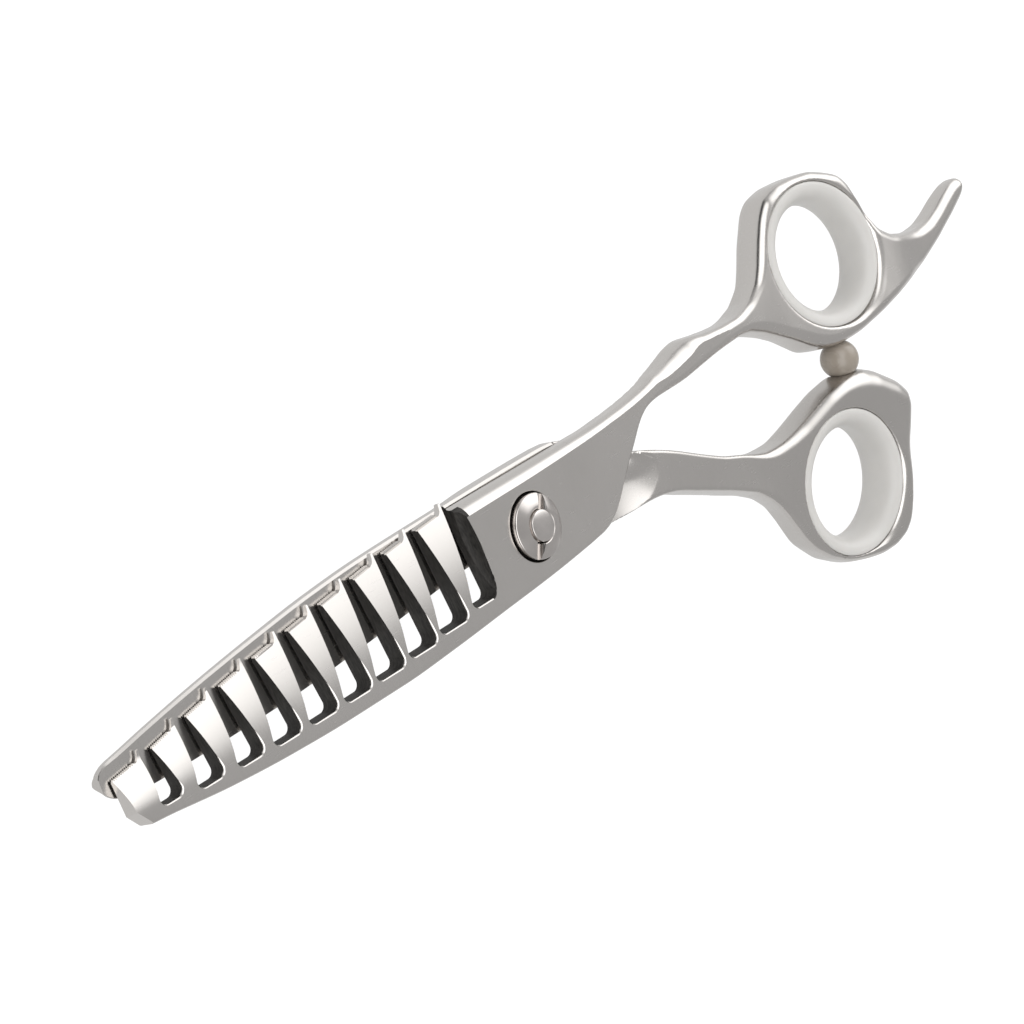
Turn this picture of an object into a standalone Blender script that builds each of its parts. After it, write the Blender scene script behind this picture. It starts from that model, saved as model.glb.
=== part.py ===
"""Thinning shears, 6.5 inch class, lying flat and closed.

Frame: the pivot axis is Z. The origin is the centre of the pivot stud's flat back.
+X runs from the pivot to the finger rings, +Y to the ring with the tang, +Z out of
the toothed blade. The toothed half is the upper one, the straight half the lower one.
Numbers below are millimetres and become metres in the meshes.
"""

import math

import bmesh
import bpy
import numpy as np
from mathutils import Matrix, Vector

MM = 0.001

# ---------------------------------------------------------------- driving sizes
GAP = 0.3  # left between pieces that touch or rest on each other
STRAIGHT_BACK = 1.3  # back of the straight half's ricasso
STRAIGHT_FACE = 3.85  # inner face of the straight half
TOOTHED_BACK = 4.15  # inner face of the toothed half
TOOTHED_FACE = 6.9  # outer face of the toothed half
TEETH = 10
TOOTH_PITCH = 6.31
TOOTH_TIP_WIDTH = 4.35
SPINE_TAPER = 0.8  # the toothed half is this much thinner at its point

STUD_HEAD_R, STUD_HEAD_T = 4.6, 1.0
STUD_NECK_R, STUD_R, STUD_TOP = 2.6, 2.0, 8.55
NUT_R, NUT_HOLE_R, NUT_SLOT_W, NUT_SLOT_ANGLE = 4.13, 2.3, 1.2, 60.0
COUNTERBORE_R, COUNTERBORE_Z = 4.43, 5.3
WASHER_R, WASHER_HOLE_R = 6.0, 3.2

RING_HALF = 3.4  # half the thickness of each finger ring
BORE_R, GROOVE_R, GROOVE_HALF = 10.2, 10.75, 1.3
INSERT_R, INSERT_RIB_R, INSERT_HALF, THROAT_R = 9.9, 10.45, 3.3, 7.4

UPPER_RING = (70.7, 11.55, 5.2)
UPPER_LEAN = (-0.13, 0.09, 1.0)
LOWER_RING = (62.5, -18.4, 4.2)
LOWER_LEAN = (-0.10, -0.10, 1.0)

BALL_CENTRE = (69.0, -2.92, 6.2)
BALL_R = 2.7
PIN_R, PIN_HEAD_R = 0.9, 1.5

# Outlines: (station along X, value). Each is read through a smooth curve.
TOOTHED_LOW = [
    (-76.9, -3.6), (-76.3, -5.3), (-75.2, -5.95), (-70, -6.5), (-60, -7.55),
    (-50, -8.15), (-40, -8.4), (-30, -8.4), (-20, -8.0), (-10, -7.4), (0, -6.8),
    (7, -6.2), (12, -5.6), (14, -5.0), (16, -3.7), (20, 0.0), (23, 2.5), (25.5, 4.6),
    (27.5, 5.6), (30, 6.0), (36, 6.1), (41, 6.6), (46, 7.05), (51, 7.0), (55, 5.9),
    (58, 4.7), (60.2, 3.7),
]
TOOTHED_HIGH = [
    (-76.9, -0.4), (-75, -0.1), (-70.3, 0.5), (-64, 1.55), (-57.6, 2.55),
    (-51.1, 3.45), (-44.9, 4.15), (-38.6, 4.85), (-32.2, 5.55), (-25.8, 6.25),
    (-19.3, 6.8), (-12.6, 7.2), (-6, 7.2), (5, 7.15), (15, 7.15), (22, 7.5),
    (28, 8.2), (33, 9.4), (37.5, 10.6), (40, 10.7), (43, 10.2), (47, 9.8),
    (50, 10.2), (53, 11.3), (56, 13.8), (58.2, 16.6), (60.2, 19.0),
]
TOOTHED_BOTTOM = [
    (26, 4.15), (29, 4.0), (33, 3.3), (40, 2.5), (47, 1.9), (52, 1.4), (56, 0.7),
    (60.2, 0.3),
]
STRAIGHT_HIGH = [
    (-77.2, 0.9), (-76.6, 1.6), (-75, 2.1), (-67.4, 3.2), (-57.3, 4.6),
    (-47.1, 5.75), (-37, 6.7), (-27, 7.25), (-12, 7.5), (3, 7.6), (10.5, 7.5),
    (13, 7.0), (16, 5.4), (20, 3.2), (24, 1.4), (27, 0.1),
]
STRAIGHT_LOW = [
    (-77.2, -0.2), (-76.4, -1.5), (-75, -2.3), (-72, -2.8), (-67, -3.04),
    (-54, -3.14), (-47.7, -3.1), (-41, -2.9), (-34.8, -2.55), (-28.8, -2.2),
    (-22.4, -1.75), (-16, -1.25), (-10, -0.9), (-8.2, -1.6), (-6.6, -4.6),
    (-4.6, -6.0), (0, -6.4), (8, -6.0), (15, -5.5), (20, -5.4), (24, -5.6), (27, -6.0),
]
SHANK_HIGH = [
    (23.4, 1.2), (26, 0.3), (30.3, -1.5), (34.3, -3.5), (39.4, -5.9), (44.4, -7.9),
    (47.4, -8.6), (50.5, -8.4), (53.5, -7.3),
]
SHANK_LOW = [
    (23.4, -5.4), (27.6, -6.2), (32.4, -8.0), (37.4, -10.0), (42.4, -12.0),
    (45.5, -13.4), (48, -15.6), (50.5, -19.0), (53.5, -23.0),
]
SHANK_TOP = [
    (23.4, 4.3), (24.6, 5.5), (26.2, 6.3), (30, 6.55), (40, 6.65), (48, 6.8),
    (53.5, 6.9),
]
SHANK_BOTTOM = [(23.4, 1.5), (26, 1.2), (32, 0.9), (42, 0.5), (53.5, 0.1)]

# Finger rings: (degrees from +X about the ring's centre, outer radius).
UPPER_OUTER = [
    (0, 11.0), (15, 10.95), (30, 11.0), (42, 11.3), (54, 11.8), (74, 11.6), (93, 11.5),
    (112, 12.2), (130, 13.6), (144, 13.4), (156, 13.5), (170, 14.4), (183, 14.8),
    (197, 14.7), (210, 13.9), (223, 12.7), (237, 12.5), (250, 12.2), (267, 11.8),
    (285, 11.8), (305, 12.3), (325, 12.6), (342, 11.8),
]
LOWER_OUTER = [
    (0, 13.2), (12, 14.6), (20, 16.3), (26, 16.8), (32, 16.4), (40, 15.8),
    (52, 15.4), (64, 15.3), (74, 14.6), (90, 13.7), (110, 13.5), (127, 13.2),
    (150, 12.6), (175, 12.4), (200, 11.8), (220, 11.5), (240, 11.4), (258, 11.4),
    (276, 11.8), (292, 12.6), (305, 13.1), (317, 13.2), (330, 12.7), (345, 12.2),
]
# The tang: (x, y, z, half width, half height)
TANG = [
    (79.2, 3.3, 6.9, 1.5, 1.7), (82.0, 4.0, 6.9, 2.9, 2.5), (85.0, 4.7, 6.9, 3.1, 2.55),
    (88.0, 5.4, 6.8, 2.6, 2.4),
    (92.5, 5.8, 6.6, 1.9, 2.2), (97.0, 6.8, 6.5, 1.6, 2.0), (101.0, 8.2, 6.4, 1.6, 1.9),
    (104.5, 9.6, 6.4, 1.5, 1.7), (107.0, 10.3, 6.4, 1.1, 1.2), (107.9, 10.5, 6.4, 0.5, 0.6),
]

# Slots between the teeth: floor left, floor right, floor height.
SLOT_FLOOR = [
    (-71.2, -67.6, -5.1), (-65.3, -61.0, -5.8), (-58.8, -54.3, -6.1),
    (-52.6, -47.8, -6.3), (-46.4, -41.3, -6.4), (-40.1, -35.1, -6.4),
    (-34.1, -28.8, -6.3), (-27.8, -22.5, -6.0), (-21.6, -16.2, -5.6),
    (-14.8, -10.2, -5.0),
]
FIRST_TIP = -70.3  # right corner of the first tooth's tip


# ---------------------------------------------------------------- curve reading
def read(stations, x):
    """A smooth curve through the stations, level at its turning points."""
    xs = np.array([s[0] for s in stations], float)
    ys = np.array([s[1] for s in stations], float)
    step = np.diff(xs)
    slope = np.diff(ys) / step
    m = np.zeros(len(xs))
    m[0], m[-1] = slope[0], slope[-1]
    for i in range(1, len(xs) - 1):
        if slope[i - 1] * slope[i] > 0:
            w1, w2 = 2 * step[i] + step[i - 1], step[i] + 2 * step[i - 1]
            m[i] = (w1 + w2) / (w1 / slope[i - 1] + w2 / slope[i])
    x = min(max(x, xs[0]), xs[-1])
    i = min(int(np.searchsorted(xs, x, side="right")) - 1, len(step) - 1)
    t = (x - xs[i]) / step[i]
    return float(
        ys[i] * (2 * t**3 - 3 * t**2 + 1)
        + step[i] * m[i] * (t**3 - 2 * t**2 + t)
        + ys[i + 1] * (3 * t**2 - 2 * t**3)
        + step[i] * m[i + 1] * (t**3 - t**2)
    )


def ramp(x, low, high):
    t = min(max((x - low) / (high - low), 0.0), 1.0)
    return t * t * (3 - 2 * t)


def mix(a, b, t):
    return a + (b - a) * t


# ---------------------------------------------------------------- mesh helpers
def clear_scene():
    for ob in list(bpy.data.objects):
        bpy.data.objects.remove(ob, do_unlink=True)
    for me in list(bpy.data.meshes):
        bpy.data.meshes.remove(me)


def material(name, colour, metallic, roughness):
    mat = bpy.data.materials.new(name)
    mat.use_nodes = True
    shader = mat.node_tree.nodes["Principled BSDF"]
    shader.inputs["Base Color"].default_value = (*colour, 1.0)
    shader.inputs["Metallic"].default_value = metallic
    shader.inputs["Roughness"].default_value = roughness
    mat.diffuse_color = (*colour, 1.0)
    return mat


def make_object(name, bm, mat=None, parent=None, helper=False, angle=35.0):
    bmesh.ops.recalc_face_normals(bm, faces=bm.faces)
    if bm.calc_volume(signed=True) < 0:
        bmesh.ops.reverse_faces(bm, faces=bm.faces)
    mesh = bpy.data.meshes.new(name)
    bm.to_mesh(mesh)
    bm.free()
    ob = bpy.data.objects.new(name, mesh)
    bpy.context.scene.collection.objects.link(ob)
    if mat:
        mesh.materials.append(mat)
        mesh.shade_smooth()
        mesh.set_sharp_from_angle(angle=math.radians(angle))
    if helper:
        ob.hide_render = True
        ob.display_type = "WIRE"
    if parent:
        ob.parent = parent
    return ob


def bridge(rings, close_ends=True, loop=False):
    """Quads between rings of points, given in millimetres, with flat ends."""
    bm = bmesh.new()
    rows = [[bm.verts.new(Vector(p) * MM) for p in ring] for ring in rings]
    n = len(rows[0])
    pairs = list(zip(rows[:-1], rows[1:], strict=True))
    if loop:
        pairs.append((rows[-1], rows[0]))
    for a, b in pairs:
        for i in range(n):
            j = (i + 1) % n
            bm.faces.new((a[i], a[j], b[j], b[i]))
    if close_ends and not loop:
        bm.faces.new(rows[0])
        bm.faces.new(list(reversed(rows[-1])))
    return bm


def leaning(lean):
    """A frame whose Z is the given direction and whose X stays level with world X."""
    z = Vector(lean).normalized()
    guide = Vector((1, 0, 0))
    x = (guide - z * z.dot(guide)).normalized()
    return Matrix((x, z.cross(x), z)).transposed()


def turned(profile, steps=48, at=(0, 0, 0), lean=(0, 0, 1)):
    """A closed (radius, height) profile turned about an axis."""
    turn = leaning(lean)
    rings = []
    for k in range(steps):
        a = 2 * math.pi * k / steps
        rings.append(
            [
                Vector(at) + turn @ Vector((r * math.cos(a), r * math.sin(a), z))
                for r, z in profile
            ]
        )
    return bridge(rings, loop=True)


def turned_solid(profile, steps=48, at=(0, 0, 0), lean=(0, 0, 1), phase=0.041):
    """An open (radius, height) profile, bottom to top, turned and capped flat."""
    turn = leaning(lean)
    rings = []
    for r, z in profile:
        rings.append(
            [
                Vector(at)
                + turn
                @ Vector(
                    (
                        r * math.cos(2 * math.pi * k / steps + phase),
                        r * math.sin(2 * math.pi * k / steps + phase),
                        z,
                    )
                )
                for k in range(steps)
            ]
        )
    return bridge(rings)


def boolean(ob, tool, how):
    mod = ob.modifiers.new(f"{how.lower()}_{tool.name}", "BOOLEAN")
    mod.operation = how
    mod.solver = "EXACT"
    mod.object = tool


def section(x, y0, y1, zb, zt, drop, cb, ct):
    """One cross section of a half at x. The outer face falls by drop towards y1."""
    w = y1 - y0
    cb, ct = min(cb, 0.45 * w), min(ct, 0.45 * w)
    pts = [(y0 + cb, zb), (y0 + 0.5 * w, zb), (y1 - cb, zb)]
    for a in (30, 60):
        s, c = math.sin(math.radians(a)), math.cos(math.radians(a))
        pts.append((y1 - cb + cb * s, zb + cb - cb * c))
    side_top = max(zt - drop - ct, zb + cb + 0.05)
    pts.append((y1, zb + cb))
    pts.append((y1, side_top))
    rise = zt - drop - side_top
    for a in (30, 60):
        s, c = math.sin(math.radians(a)), math.cos(math.radians(a))
        pts.append((y1 - ct + ct * c, side_top + rise * s))
    for f in (1.0, 0.8, 0.6, 0.4, 0.2):
        y = mix(y0 + ct, y1 - ct, f)
        pts.append((y, zt - drop * max(0.0, (f - 0.25) / 0.75) ** 1.7))
    pts.append((y0 + ct, zt))
    for a in (60, 30):
        s, c = math.sin(math.radians(a)), math.cos(math.radians(a))
        pts.append((y0 + ct - ct * c, zt - ct + ct * s))
    pts.append((y0, zt - ct))
    pts.append((y0, zb + cb))
    for a in (60, 30):
        s, c = math.sin(math.radians(a)), math.cos(math.radians(a))
        pts.append((y0 + cb - cb * s, zb + cb - cb * c))
    return [(x, y, z) for y, z in pts]


def ring_body(centre, lean, outer, half):
    """The solid puck of a finger ring, before its hole is cut."""
    turn = leaning(lean)
    table = (
        [(a - 360, r) for a, r in outer] + list(outer) + [(a + 360, r) for a, r in outer]
    )
    levels = [
        (-1.0, 1.7), (-0.84, 0.85), (-0.5, 0.15), (0.0, 0.0), (0.5, 0.2), (0.85, 0.85),
        (1.0, 1.55),
    ]
    rings = []
    for f, inset in levels:
        ring = []
        for k in range(60):
            a = 6.0 * k
            r = max(read(table, a) - inset * 0.8, BORE_R + 0.75)
            ring.append(
                Vector(centre)
                + turn
                @ Vector(
                    (r * math.cos(math.radians(a)), r * math.sin(math.radians(a)), f * half)
                )
            )
        rings.append(ring)
    return bridge(rings)


def bore_cutter(centre, lean, half):
    """The ring's hole with the groove that keeps its insert in."""
    profile = [
        (BORE_R + 0.3, -half - 2.0), (BORE_R + 0.3, -half + 0.3), (BORE_R, -half + 0.7),
        (BORE_R, -GROOVE_HALF - 0.3), (GROOVE_R, -GROOVE_HALF), (GROOVE_R, GROOVE_HALF),
        (BORE_R, GROOVE_HALF + 0.3), (BORE_R, half - 0.7), (BORE_R + 0.3, half - 0.3),
        (BORE_R + 0.3, half + 2.0),
    ]
    return turned_solid(profile, 48, centre, lean)


def insert_body(centre, lean):
    """A soft ring: rib outside, rounded throat inside."""
    h, a = INSERT_HALF, INSERT_R - 0.25 - THROAT_R
    profile = [
        (INSERT_R - 0.25, -h), (INSERT_R, -h + 0.3), (INSERT_R, -0.95),
        (INSERT_RIB_R, -0.7), (INSERT_RIB_R, 0.7), (INSERT_R, 0.95), (INSERT_R, h - 0.3),
        (INSERT_R - 0.25, h),
    ]
    for k in range(1, 8):
        t = math.pi * k / 8
        profile.append((INSERT_R - 0.25 - a * math.sin(t) ** 0.85, h * math.cos(t)))
    return turned(profile, 40, centre, lean)


# ---------------------------------------------------------------- the pieces
clear_scene()
STEEL = material("satin_steel", (0.60, 0.575, 0.555), 1.0, 0.30)
STEEL_DARK = material("satin_steel_straight", (0.55, 0.53, 0.51), 1.0, 0.32)
STUD_STEEL = material("stud_steel", (0.58, 0.56, 0.53), 1.0, 0.25)
NUT_STEEL = material("nut_steel", (0.50, 0.47, 0.44), 1.0, 0.28)
SPRING_STEEL = material("spring_steel", (0.42, 0.41, 0.40), 1.0, 0.30)
PIN_STEEL = material("pin_steel", (0.58, 0.57, 0.55), 1.0, 0.35)
NYLON = material("white_nylon", (0.80, 0.79, 0.75), 0.0, 0.45)
ACETAL = material("acetal", (0.86, 0.85, 0.82), 0.0, 0.40)
SILICONE_A = material("insert_white", (0.80, 0.79, 0.75), 0.0, 0.40)
SILICONE_B = material("insert_white_lower", (0.79, 0.78, 0.74), 0.0, 0.40)
RUBBER = material("bumper_beige", (0.42, 0.36, 0.31), 0.0, 0.38)

pivot = bpy.data.objects.new("blade_pivot_axis", None)
bpy.context.scene.collection.objects.link(pivot)
nut_axis = bpy.data.objects.new("tension_axis", None)
bpy.context.scene.collection.objects.link(nut_axis)

# --- toothed half: blade, ricasso and shank as one run of cross sections
stations = [-76.9, -76.5, -76.0, -75.2] + [float(x) for x in np.arange(-72.0, -11.0, 6.0)]
stations += [-11.0, -5.8, 0.3, 6.1, 11.0, 13.0, 15.0, 17.0, 19.0, 21.0, 23.0, 24.5, 26.0]
stations += [27.5, 29.5, 32.0, 34.5, 37.0, 39.0, 41.5, 44.5, 47.5, 50.0, 52.0, 54.0, 56.0]
stations += [58.0, 60.2]
rings = []
for x in stations:
    teeth = 1.0 - ramp(x, -11.6, -10.9)
    shank = ramp(x, 24.0, 40.0)
    ring_end = ramp(x, 52.0, 60.0)
    zt = TOOTHED_FACE - SPINE_TAPER * (1.0 - ramp(x, -80.0, -14.0) ** 0.6)
    zb = read(TOOTHED_BOTTOM, x)
    drop = teeth * min(1.75, zt - TOOTHED_BACK - 0.4)
    rings.append(
        section(
            x,
            read(TOOTHED_LOW, x),
            read(TOOTHED_HIGH, x),
            zb,
            zt + 0.05 * ring_end,
            drop,
            mix(0.12, 1.3, shank),
            mix(mix(0.45, 0.2, teeth), 1.0, shank),
        )
    )
toothed = make_object("toothed_blade", bridge(rings), STEEL, pivot)

# --- its finger ring and tang
upper_ring = make_object(
    "tool_upper_ring", ring_body(UPPER_RING, UPPER_LEAN, UPPER_OUTER, RING_HALF), helper=True
)
tang_rings = []
centres = [Vector(t[:3]) for t in TANG]
for i, (x, y, z, hw, hh) in enumerate(TANG):
    run = (centres[min(i + 1, len(TANG) - 1)] - centres[max(i - 1, 0)]).normalized()
    side = Vector((0, 0, 1)).cross(run).normalized()
    up = run.cross(side).normalized()
    tang_rings.append(
        [
            centres[i]
            + side * hw * math.copysign(abs(math.cos(a)) ** 0.8, math.cos(a))
            + up * hh * math.copysign(abs(math.sin(a)) ** 0.8, math.sin(a))
            for a in (2 * math.pi * k / 20 for k in range(20))
        ]
    )
tang = make_object("tool_tang", bridge(tang_rings), helper=True)
upper_bore = make_object(
    "tool_upper_bore", bore_cutter(UPPER_RING, UPPER_LEAN, RING_HALF), helper=True
)

# --- ten slots cut the blade into teeth that widen towards their tips
slots = bmesh.new()
for k, (left, right, floor) in enumerate(SLOT_FLOOR):
    tip = FIRST_TIP + TOOTH_PITCH * k + (0.9 if k == TEETH - 1 else 0.0)
    high = read(TOOTHED_HIGH, tip)
    if k == TEETH - 1:
        mouth_right = -11.2
    else:
        mouth_right = tip + TOOTH_PITCH - TOOTH_TIP_WIDTH
    beyond = 2.0
    reach = (high + beyond - floor) / (high - floor)
    top_left = (mix(left, tip, reach), high + beyond)
    top_right = (mix(right, mouth_right, reach), high + beyond)
    r = 0.9
    outline = [top_left]
    for a in (180, 210, 240, 270):
        outline.append(
            (left + r + r * math.cos(math.radians(a)), floor + r + r * math.sin(math.radians(a)))
        )
    for a in (270, 300, 330, 360):
        outline.append(
            (right - r + r * math.cos(math.radians(a)), floor + r + r * math.sin(math.radians(a)))
        )
    outline.append(top_right)
    low = [slots.verts.new(Vector((x, y, 3.0)) * MM) for x, y in outline]
    top = [slots.verts.new(Vector((x, y, 9.0)) * MM) for x, y in outline]
    slots.faces.new(list(reversed(low)))
    slots.faces.new(top)
    for i in range(len(outline)):
        j = (i + 1) % len(outline)
        slots.faces.new((low[i], low[j], top[j], top[i]))
slot_tool = make_object("tool_slots", slots, helper=True)

# --- pivot seat in the toothed half: washer recess, bushing bore, nut counterbore
seat = turned_solid(
    [
        (WASHER_R + GAP, 3.0), (WASHER_R + GAP, TOOTHED_BACK + 0.5), (3.2, TOOTHED_BACK + 0.5),
        (3.2, COUNTERBORE_Z), (COUNTERBORE_R, COUNTERBORE_Z), (COUNTERBORE_R, 9.5),
    ],
    40,
)
seat_tool = make_object("tool_nut_seat", seat, helper=True)
boolean(toothed, upper_ring, "UNION")
boolean(toothed, tang, "UNION")
boolean(toothed, upper_bore, "DIFFERENCE")
boolean(toothed, slot_tool, "DIFFERENCE")
boolean(toothed, seat_tool, "DIFFERENCE")

# --- straight half: thin cutting edge at -Y, spine at +Y
stations = [-77.2, -76.9, -76.4, -75.6, -74.5] + [
    float(x) for x in np.arange(-72.0, -12.0, 5.0)
]
stations += [-12.0, -10.0, -9.2, -8.6, -8.0, -7.3, -6.6, -5.6, -4.6, -2.1, 2.2, 7.1, 10.5]
stations += [12.0, 13.5, 15.5, 18.0, 20.5, 23.0, 25.0, 27.0]
rings = []
for x in stations:
    y0, y1 = read(STRAIGHT_LOW, x), read(STRAIGHT_HIGH, x)
    blade = 1.0 - ramp(x, -15.0, -6.0)
    full = STRAIGHT_FACE - STRAIGHT_BACK
    thin = mix(0.62, 1.0, ramp(x, -78.0, -20.0))
    spine = mix(full, 1.65 * thin, blade)
    middle = mix(full, 2.35 * thin, blade)
    edge = mix(full, 0.35, blade)
    w = y1 - y0
    z = STRAIGHT_FACE
    c = 0.1
    pts = [
        (y0, z - c), (y0 + c, z), (y0 + 0.33 * w, z), (y0 + 0.66 * w, z), (y1 - c, z),
        (y1, z - c), (y1, z - spine + c), (y1 - c, z - spine),
        (y0 + 0.72 * w, z - mix(full, 2.2 * thin, blade)),
        (y0 + 0.5 * w, z - middle), (y0 + 0.3 * w, z - mix(full, 1.75 * thin, blade)),
        (y0 + 0.12 * w, z - mix(full, 0.9 * thin, blade)), (y0 + c, z - edge),
        (y0, z - edge + c),
    ]
    rings.append([(x, y, zz) for y, zz in pts])
straight = make_object("straight_blade", bridge(rings), STEEL_DARK)

rings = []
for x in (23.4, 24.0, 24.8, 25.8, 27.0, 29.0, 32.0, 35.0, 38.0, 41.0, 43.5, 45.5, 47.5, 49.5, 51.5, 53.2):
    zb, zt = read(SHANK_BOTTOM, x), read(SHANK_TOP, x)
    rings.append(
        section(x, read(SHANK_LOW, x), read(SHANK_HIGH, x), zb, zt, 0.0, 1.1, 1.2 if x > 25 else 0.9)
    )
shank = make_object("tool_shank", bridge(rings), helper=True)
lower_ring = make_object(
    "tool_lower_ring", ring_body(LOWER_RING, LOWER_LEAN, LOWER_OUTER, RING_HALF), helper=True
)
lower_bore = make_object(
    "tool_lower_bore", bore_cutter(LOWER_RING, LOWER_LEAN, RING_HALF), helper=True
)
neck = turned_solid(
    [
        (STUD_NECK_R + GAP, 0.5), (STUD_NECK_R + GAP, STRAIGHT_FACE - 0.5),
        (WASHER_R + GAP, STRAIGHT_FACE - 0.5), (WASHER_R + GAP, 5.0),
    ],
    40,
)
neck_tool = make_object("tool_stud_hole", neck, helper=True)

# --- bumper seat: a dished pocket with a blind hole for the pin
bx, by, bz = BALL_CENTRE
pocket = turned_solid(
    [
        (0.05, -5.2), (PIN_R + GAP, -5.2), (PIN_R + GAP, -2.9), (1.9, -2.45),
        (BALL_R * 0.88 + GAP, -1.35), (BALL_R + GAP + 0.15, 0.2), (BALL_R + GAP + 0.3, 1.5),
    ],
    32,
    BALL_CENTRE,
    (0, 1, 0),
)
pocket_tool = make_object("tool_bumper_seat", pocket, helper=True)
boolean(straight, shank, "UNION")
boolean(straight, lower_ring, "UNION")
boolean(straight, lower_bore, "DIFFERENCE")
boolean(straight, neck_tool, "DIFFERENCE")
boolean(straight, pocket_tool, "DIFFERENCE")

# --- pivot stud: flat back head, neck in the straight half, round end in front
stud_profile = [
    (STUD_HEAD_R - 0.4, 0.0), (STUD_HEAD_R, 0.25), (STUD_HEAD_R, STUD_HEAD_T - 0.15),
    (STUD_HEAD_R - 0.15, STUD_HEAD_T), (STUD_NECK_R, STUD_HEAD_T), (STUD_NECK_R, 3.4),
    (STUD_R, 3.55), (STUD_R, STUD_TOP - 0.45), (STUD_R * 0.93, STUD_TOP - 0.26),
    (STUD_R * 0.78, STUD_TOP - 0.12), (STUD_R * 0.5, STUD_TOP - 0.03),
    (STUD_R * 0.2, STUD_TOP),
]
stud = make_object("pivot_stud", turned_solid(stud_profile, 32), STUD_STEEL)

# --- plain bushing between the stud and the toothed half
bushing = make_object(
    "pivot_bushing",
    turned([(2.3, 3.95), (2.9, 3.95), (2.9, 5.2), (2.3, 5.2)], 32),
    ACETAL,
    pivot,
)
# --- ride washer, half sunk in each inner face
ride = make_object(
    "ride_washer",
    turned(
        [
            (WASHER_HOLE_R, 3.65), (WASHER_R, 3.65), (WASHER_R, 4.35), (WASHER_HOLE_R, 4.35),
        ],
        36,
    ),
    NYLON,
)
# --- dished spring washer under the nut
spring = make_object(
    "spring_washer",
    turned([(2.45, 5.75), (4.05, 5.6), (4.05, 5.8), (2.45, 5.95)], 32),
    SPRING_STEEL,
    pivot,
)
# --- tension nut: a domed disc with a screwdriver slot across it
nut_profile = [
    (NUT_HOLE_R, 6.25), (NUT_R - 0.15, 6.25), (NUT_R, 6.4), (NUT_R, 7.4),
    (NUT_R - 0.22, 7.66), (3.45, 7.85), (3.0, 8.0), (NUT_HOLE_R + 0.25, 8.12),
    (NUT_HOLE_R, 8.06),
]
nut = make_object("tension_nut", turned(nut_profile, 36), NUT_STEEL, nut_axis)
groove = bmesh.new()
bmesh.ops.create_cube(groove, size=1.0)
bmesh.ops.scale(groove, vec=Vector((10.0, NUT_SLOT_W, 1.2)) * MM, verts=groove.verts)
bmesh.ops.rotate(
    groove,
    cent=(0, 0, 0),
    matrix=Matrix.Rotation(math.radians(NUT_SLOT_ANGLE), 3, "Z"),
    verts=groove.verts,
)
bmesh.ops.translate(groove, vec=Vector((0, 0, 8.03)) * MM, verts=groove.verts)
groove_tool = make_object("tool_nut_slot", groove, helper=True)
boolean(nut, groove_tool, "DIFFERENCE")

# --- finger inserts
insert_a = make_object("tang_ring_insert", insert_body(UPPER_RING, UPPER_LEAN), SILICONE_A, pivot)
insert_b = make_object("thumb_ring_insert", insert_body(LOWER_RING, LOWER_LEAN), SILICONE_B)

# --- bumper: a ball with a socket, on a headed pin
ball_profile = [(PIN_R + GAP, -2.28), (BALL_R * 0.55, -2.25)]
for k in range(2, 12):
    a = math.radians(-90 + 15.0 * k)
    if BALL_R * math.sin(a) > -2.2:
        ball_profile.append((BALL_R * math.cos(a), BALL_R * math.sin(a)))
ball_profile += [(0.25, BALL_R - 0.02)]
ball = make_object(
    "bumper_ball", turned_solid([(0.05, -2.28)] + ball_profile[1:], 28, BALL_CENTRE, (0, 1, 0)), RUBBER
)
socket = make_object(
    "tool_ball_socket",
    turned_solid(
        [
            (PIN_R + GAP, -4.0), (PIN_R + GAP, -1.05), (PIN_HEAD_R + GAP, -1.05),
            (PIN_HEAD_R + GAP, 0.35), (0.3, 0.45),
        ],
        20,
        BALL_CENTRE,
        (0, 1, 0),
    ),
    helper=True,
)
boolean(ball, socket, "DIFFERENCE")
pin = make_object(
    "bumper_pin",
    turned_solid(
        [
            (PIN_R - 0.2, -4.85), (PIN_R, -4.65), (PIN_R, -0.75), (PIN_HEAD_R, -0.75),
            (PIN_HEAD_R, -0.1), (PIN_HEAD_R - 0.3, 0.05),
        ],
        20,
        BALL_CENTRE,
        (0, 1, 0),
    ),
    PIN_STEEL,
)
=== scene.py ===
"""Thinning shears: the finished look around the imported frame.

Millimetre constants below are multiplied by MM. The pivot axis is Z, +X runs to the
finger rings, +Y to the ring with the tang.
"""

import math

import bmesh
import bpy
import numpy as np
from mathutils import Matrix, Vector


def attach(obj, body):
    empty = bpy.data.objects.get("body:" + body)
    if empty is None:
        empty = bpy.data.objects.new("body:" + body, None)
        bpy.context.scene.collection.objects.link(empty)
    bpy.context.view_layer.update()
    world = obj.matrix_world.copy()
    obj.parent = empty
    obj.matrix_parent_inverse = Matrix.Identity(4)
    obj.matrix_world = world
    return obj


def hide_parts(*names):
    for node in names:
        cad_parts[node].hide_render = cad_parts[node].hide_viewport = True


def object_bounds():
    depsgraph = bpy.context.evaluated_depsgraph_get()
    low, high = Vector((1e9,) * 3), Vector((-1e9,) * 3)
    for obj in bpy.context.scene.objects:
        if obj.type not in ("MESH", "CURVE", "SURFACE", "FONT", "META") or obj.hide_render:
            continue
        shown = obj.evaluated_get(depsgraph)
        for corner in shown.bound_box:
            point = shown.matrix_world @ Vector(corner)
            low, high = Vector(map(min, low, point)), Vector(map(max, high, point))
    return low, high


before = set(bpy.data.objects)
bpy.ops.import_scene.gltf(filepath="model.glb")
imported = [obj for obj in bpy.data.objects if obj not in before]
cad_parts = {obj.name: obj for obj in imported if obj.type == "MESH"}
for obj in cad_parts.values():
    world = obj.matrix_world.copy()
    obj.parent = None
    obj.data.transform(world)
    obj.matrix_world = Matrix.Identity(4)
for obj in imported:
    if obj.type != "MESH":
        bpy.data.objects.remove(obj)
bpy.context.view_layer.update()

MM = 0.001
SCENE = bpy.context.scene

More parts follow.
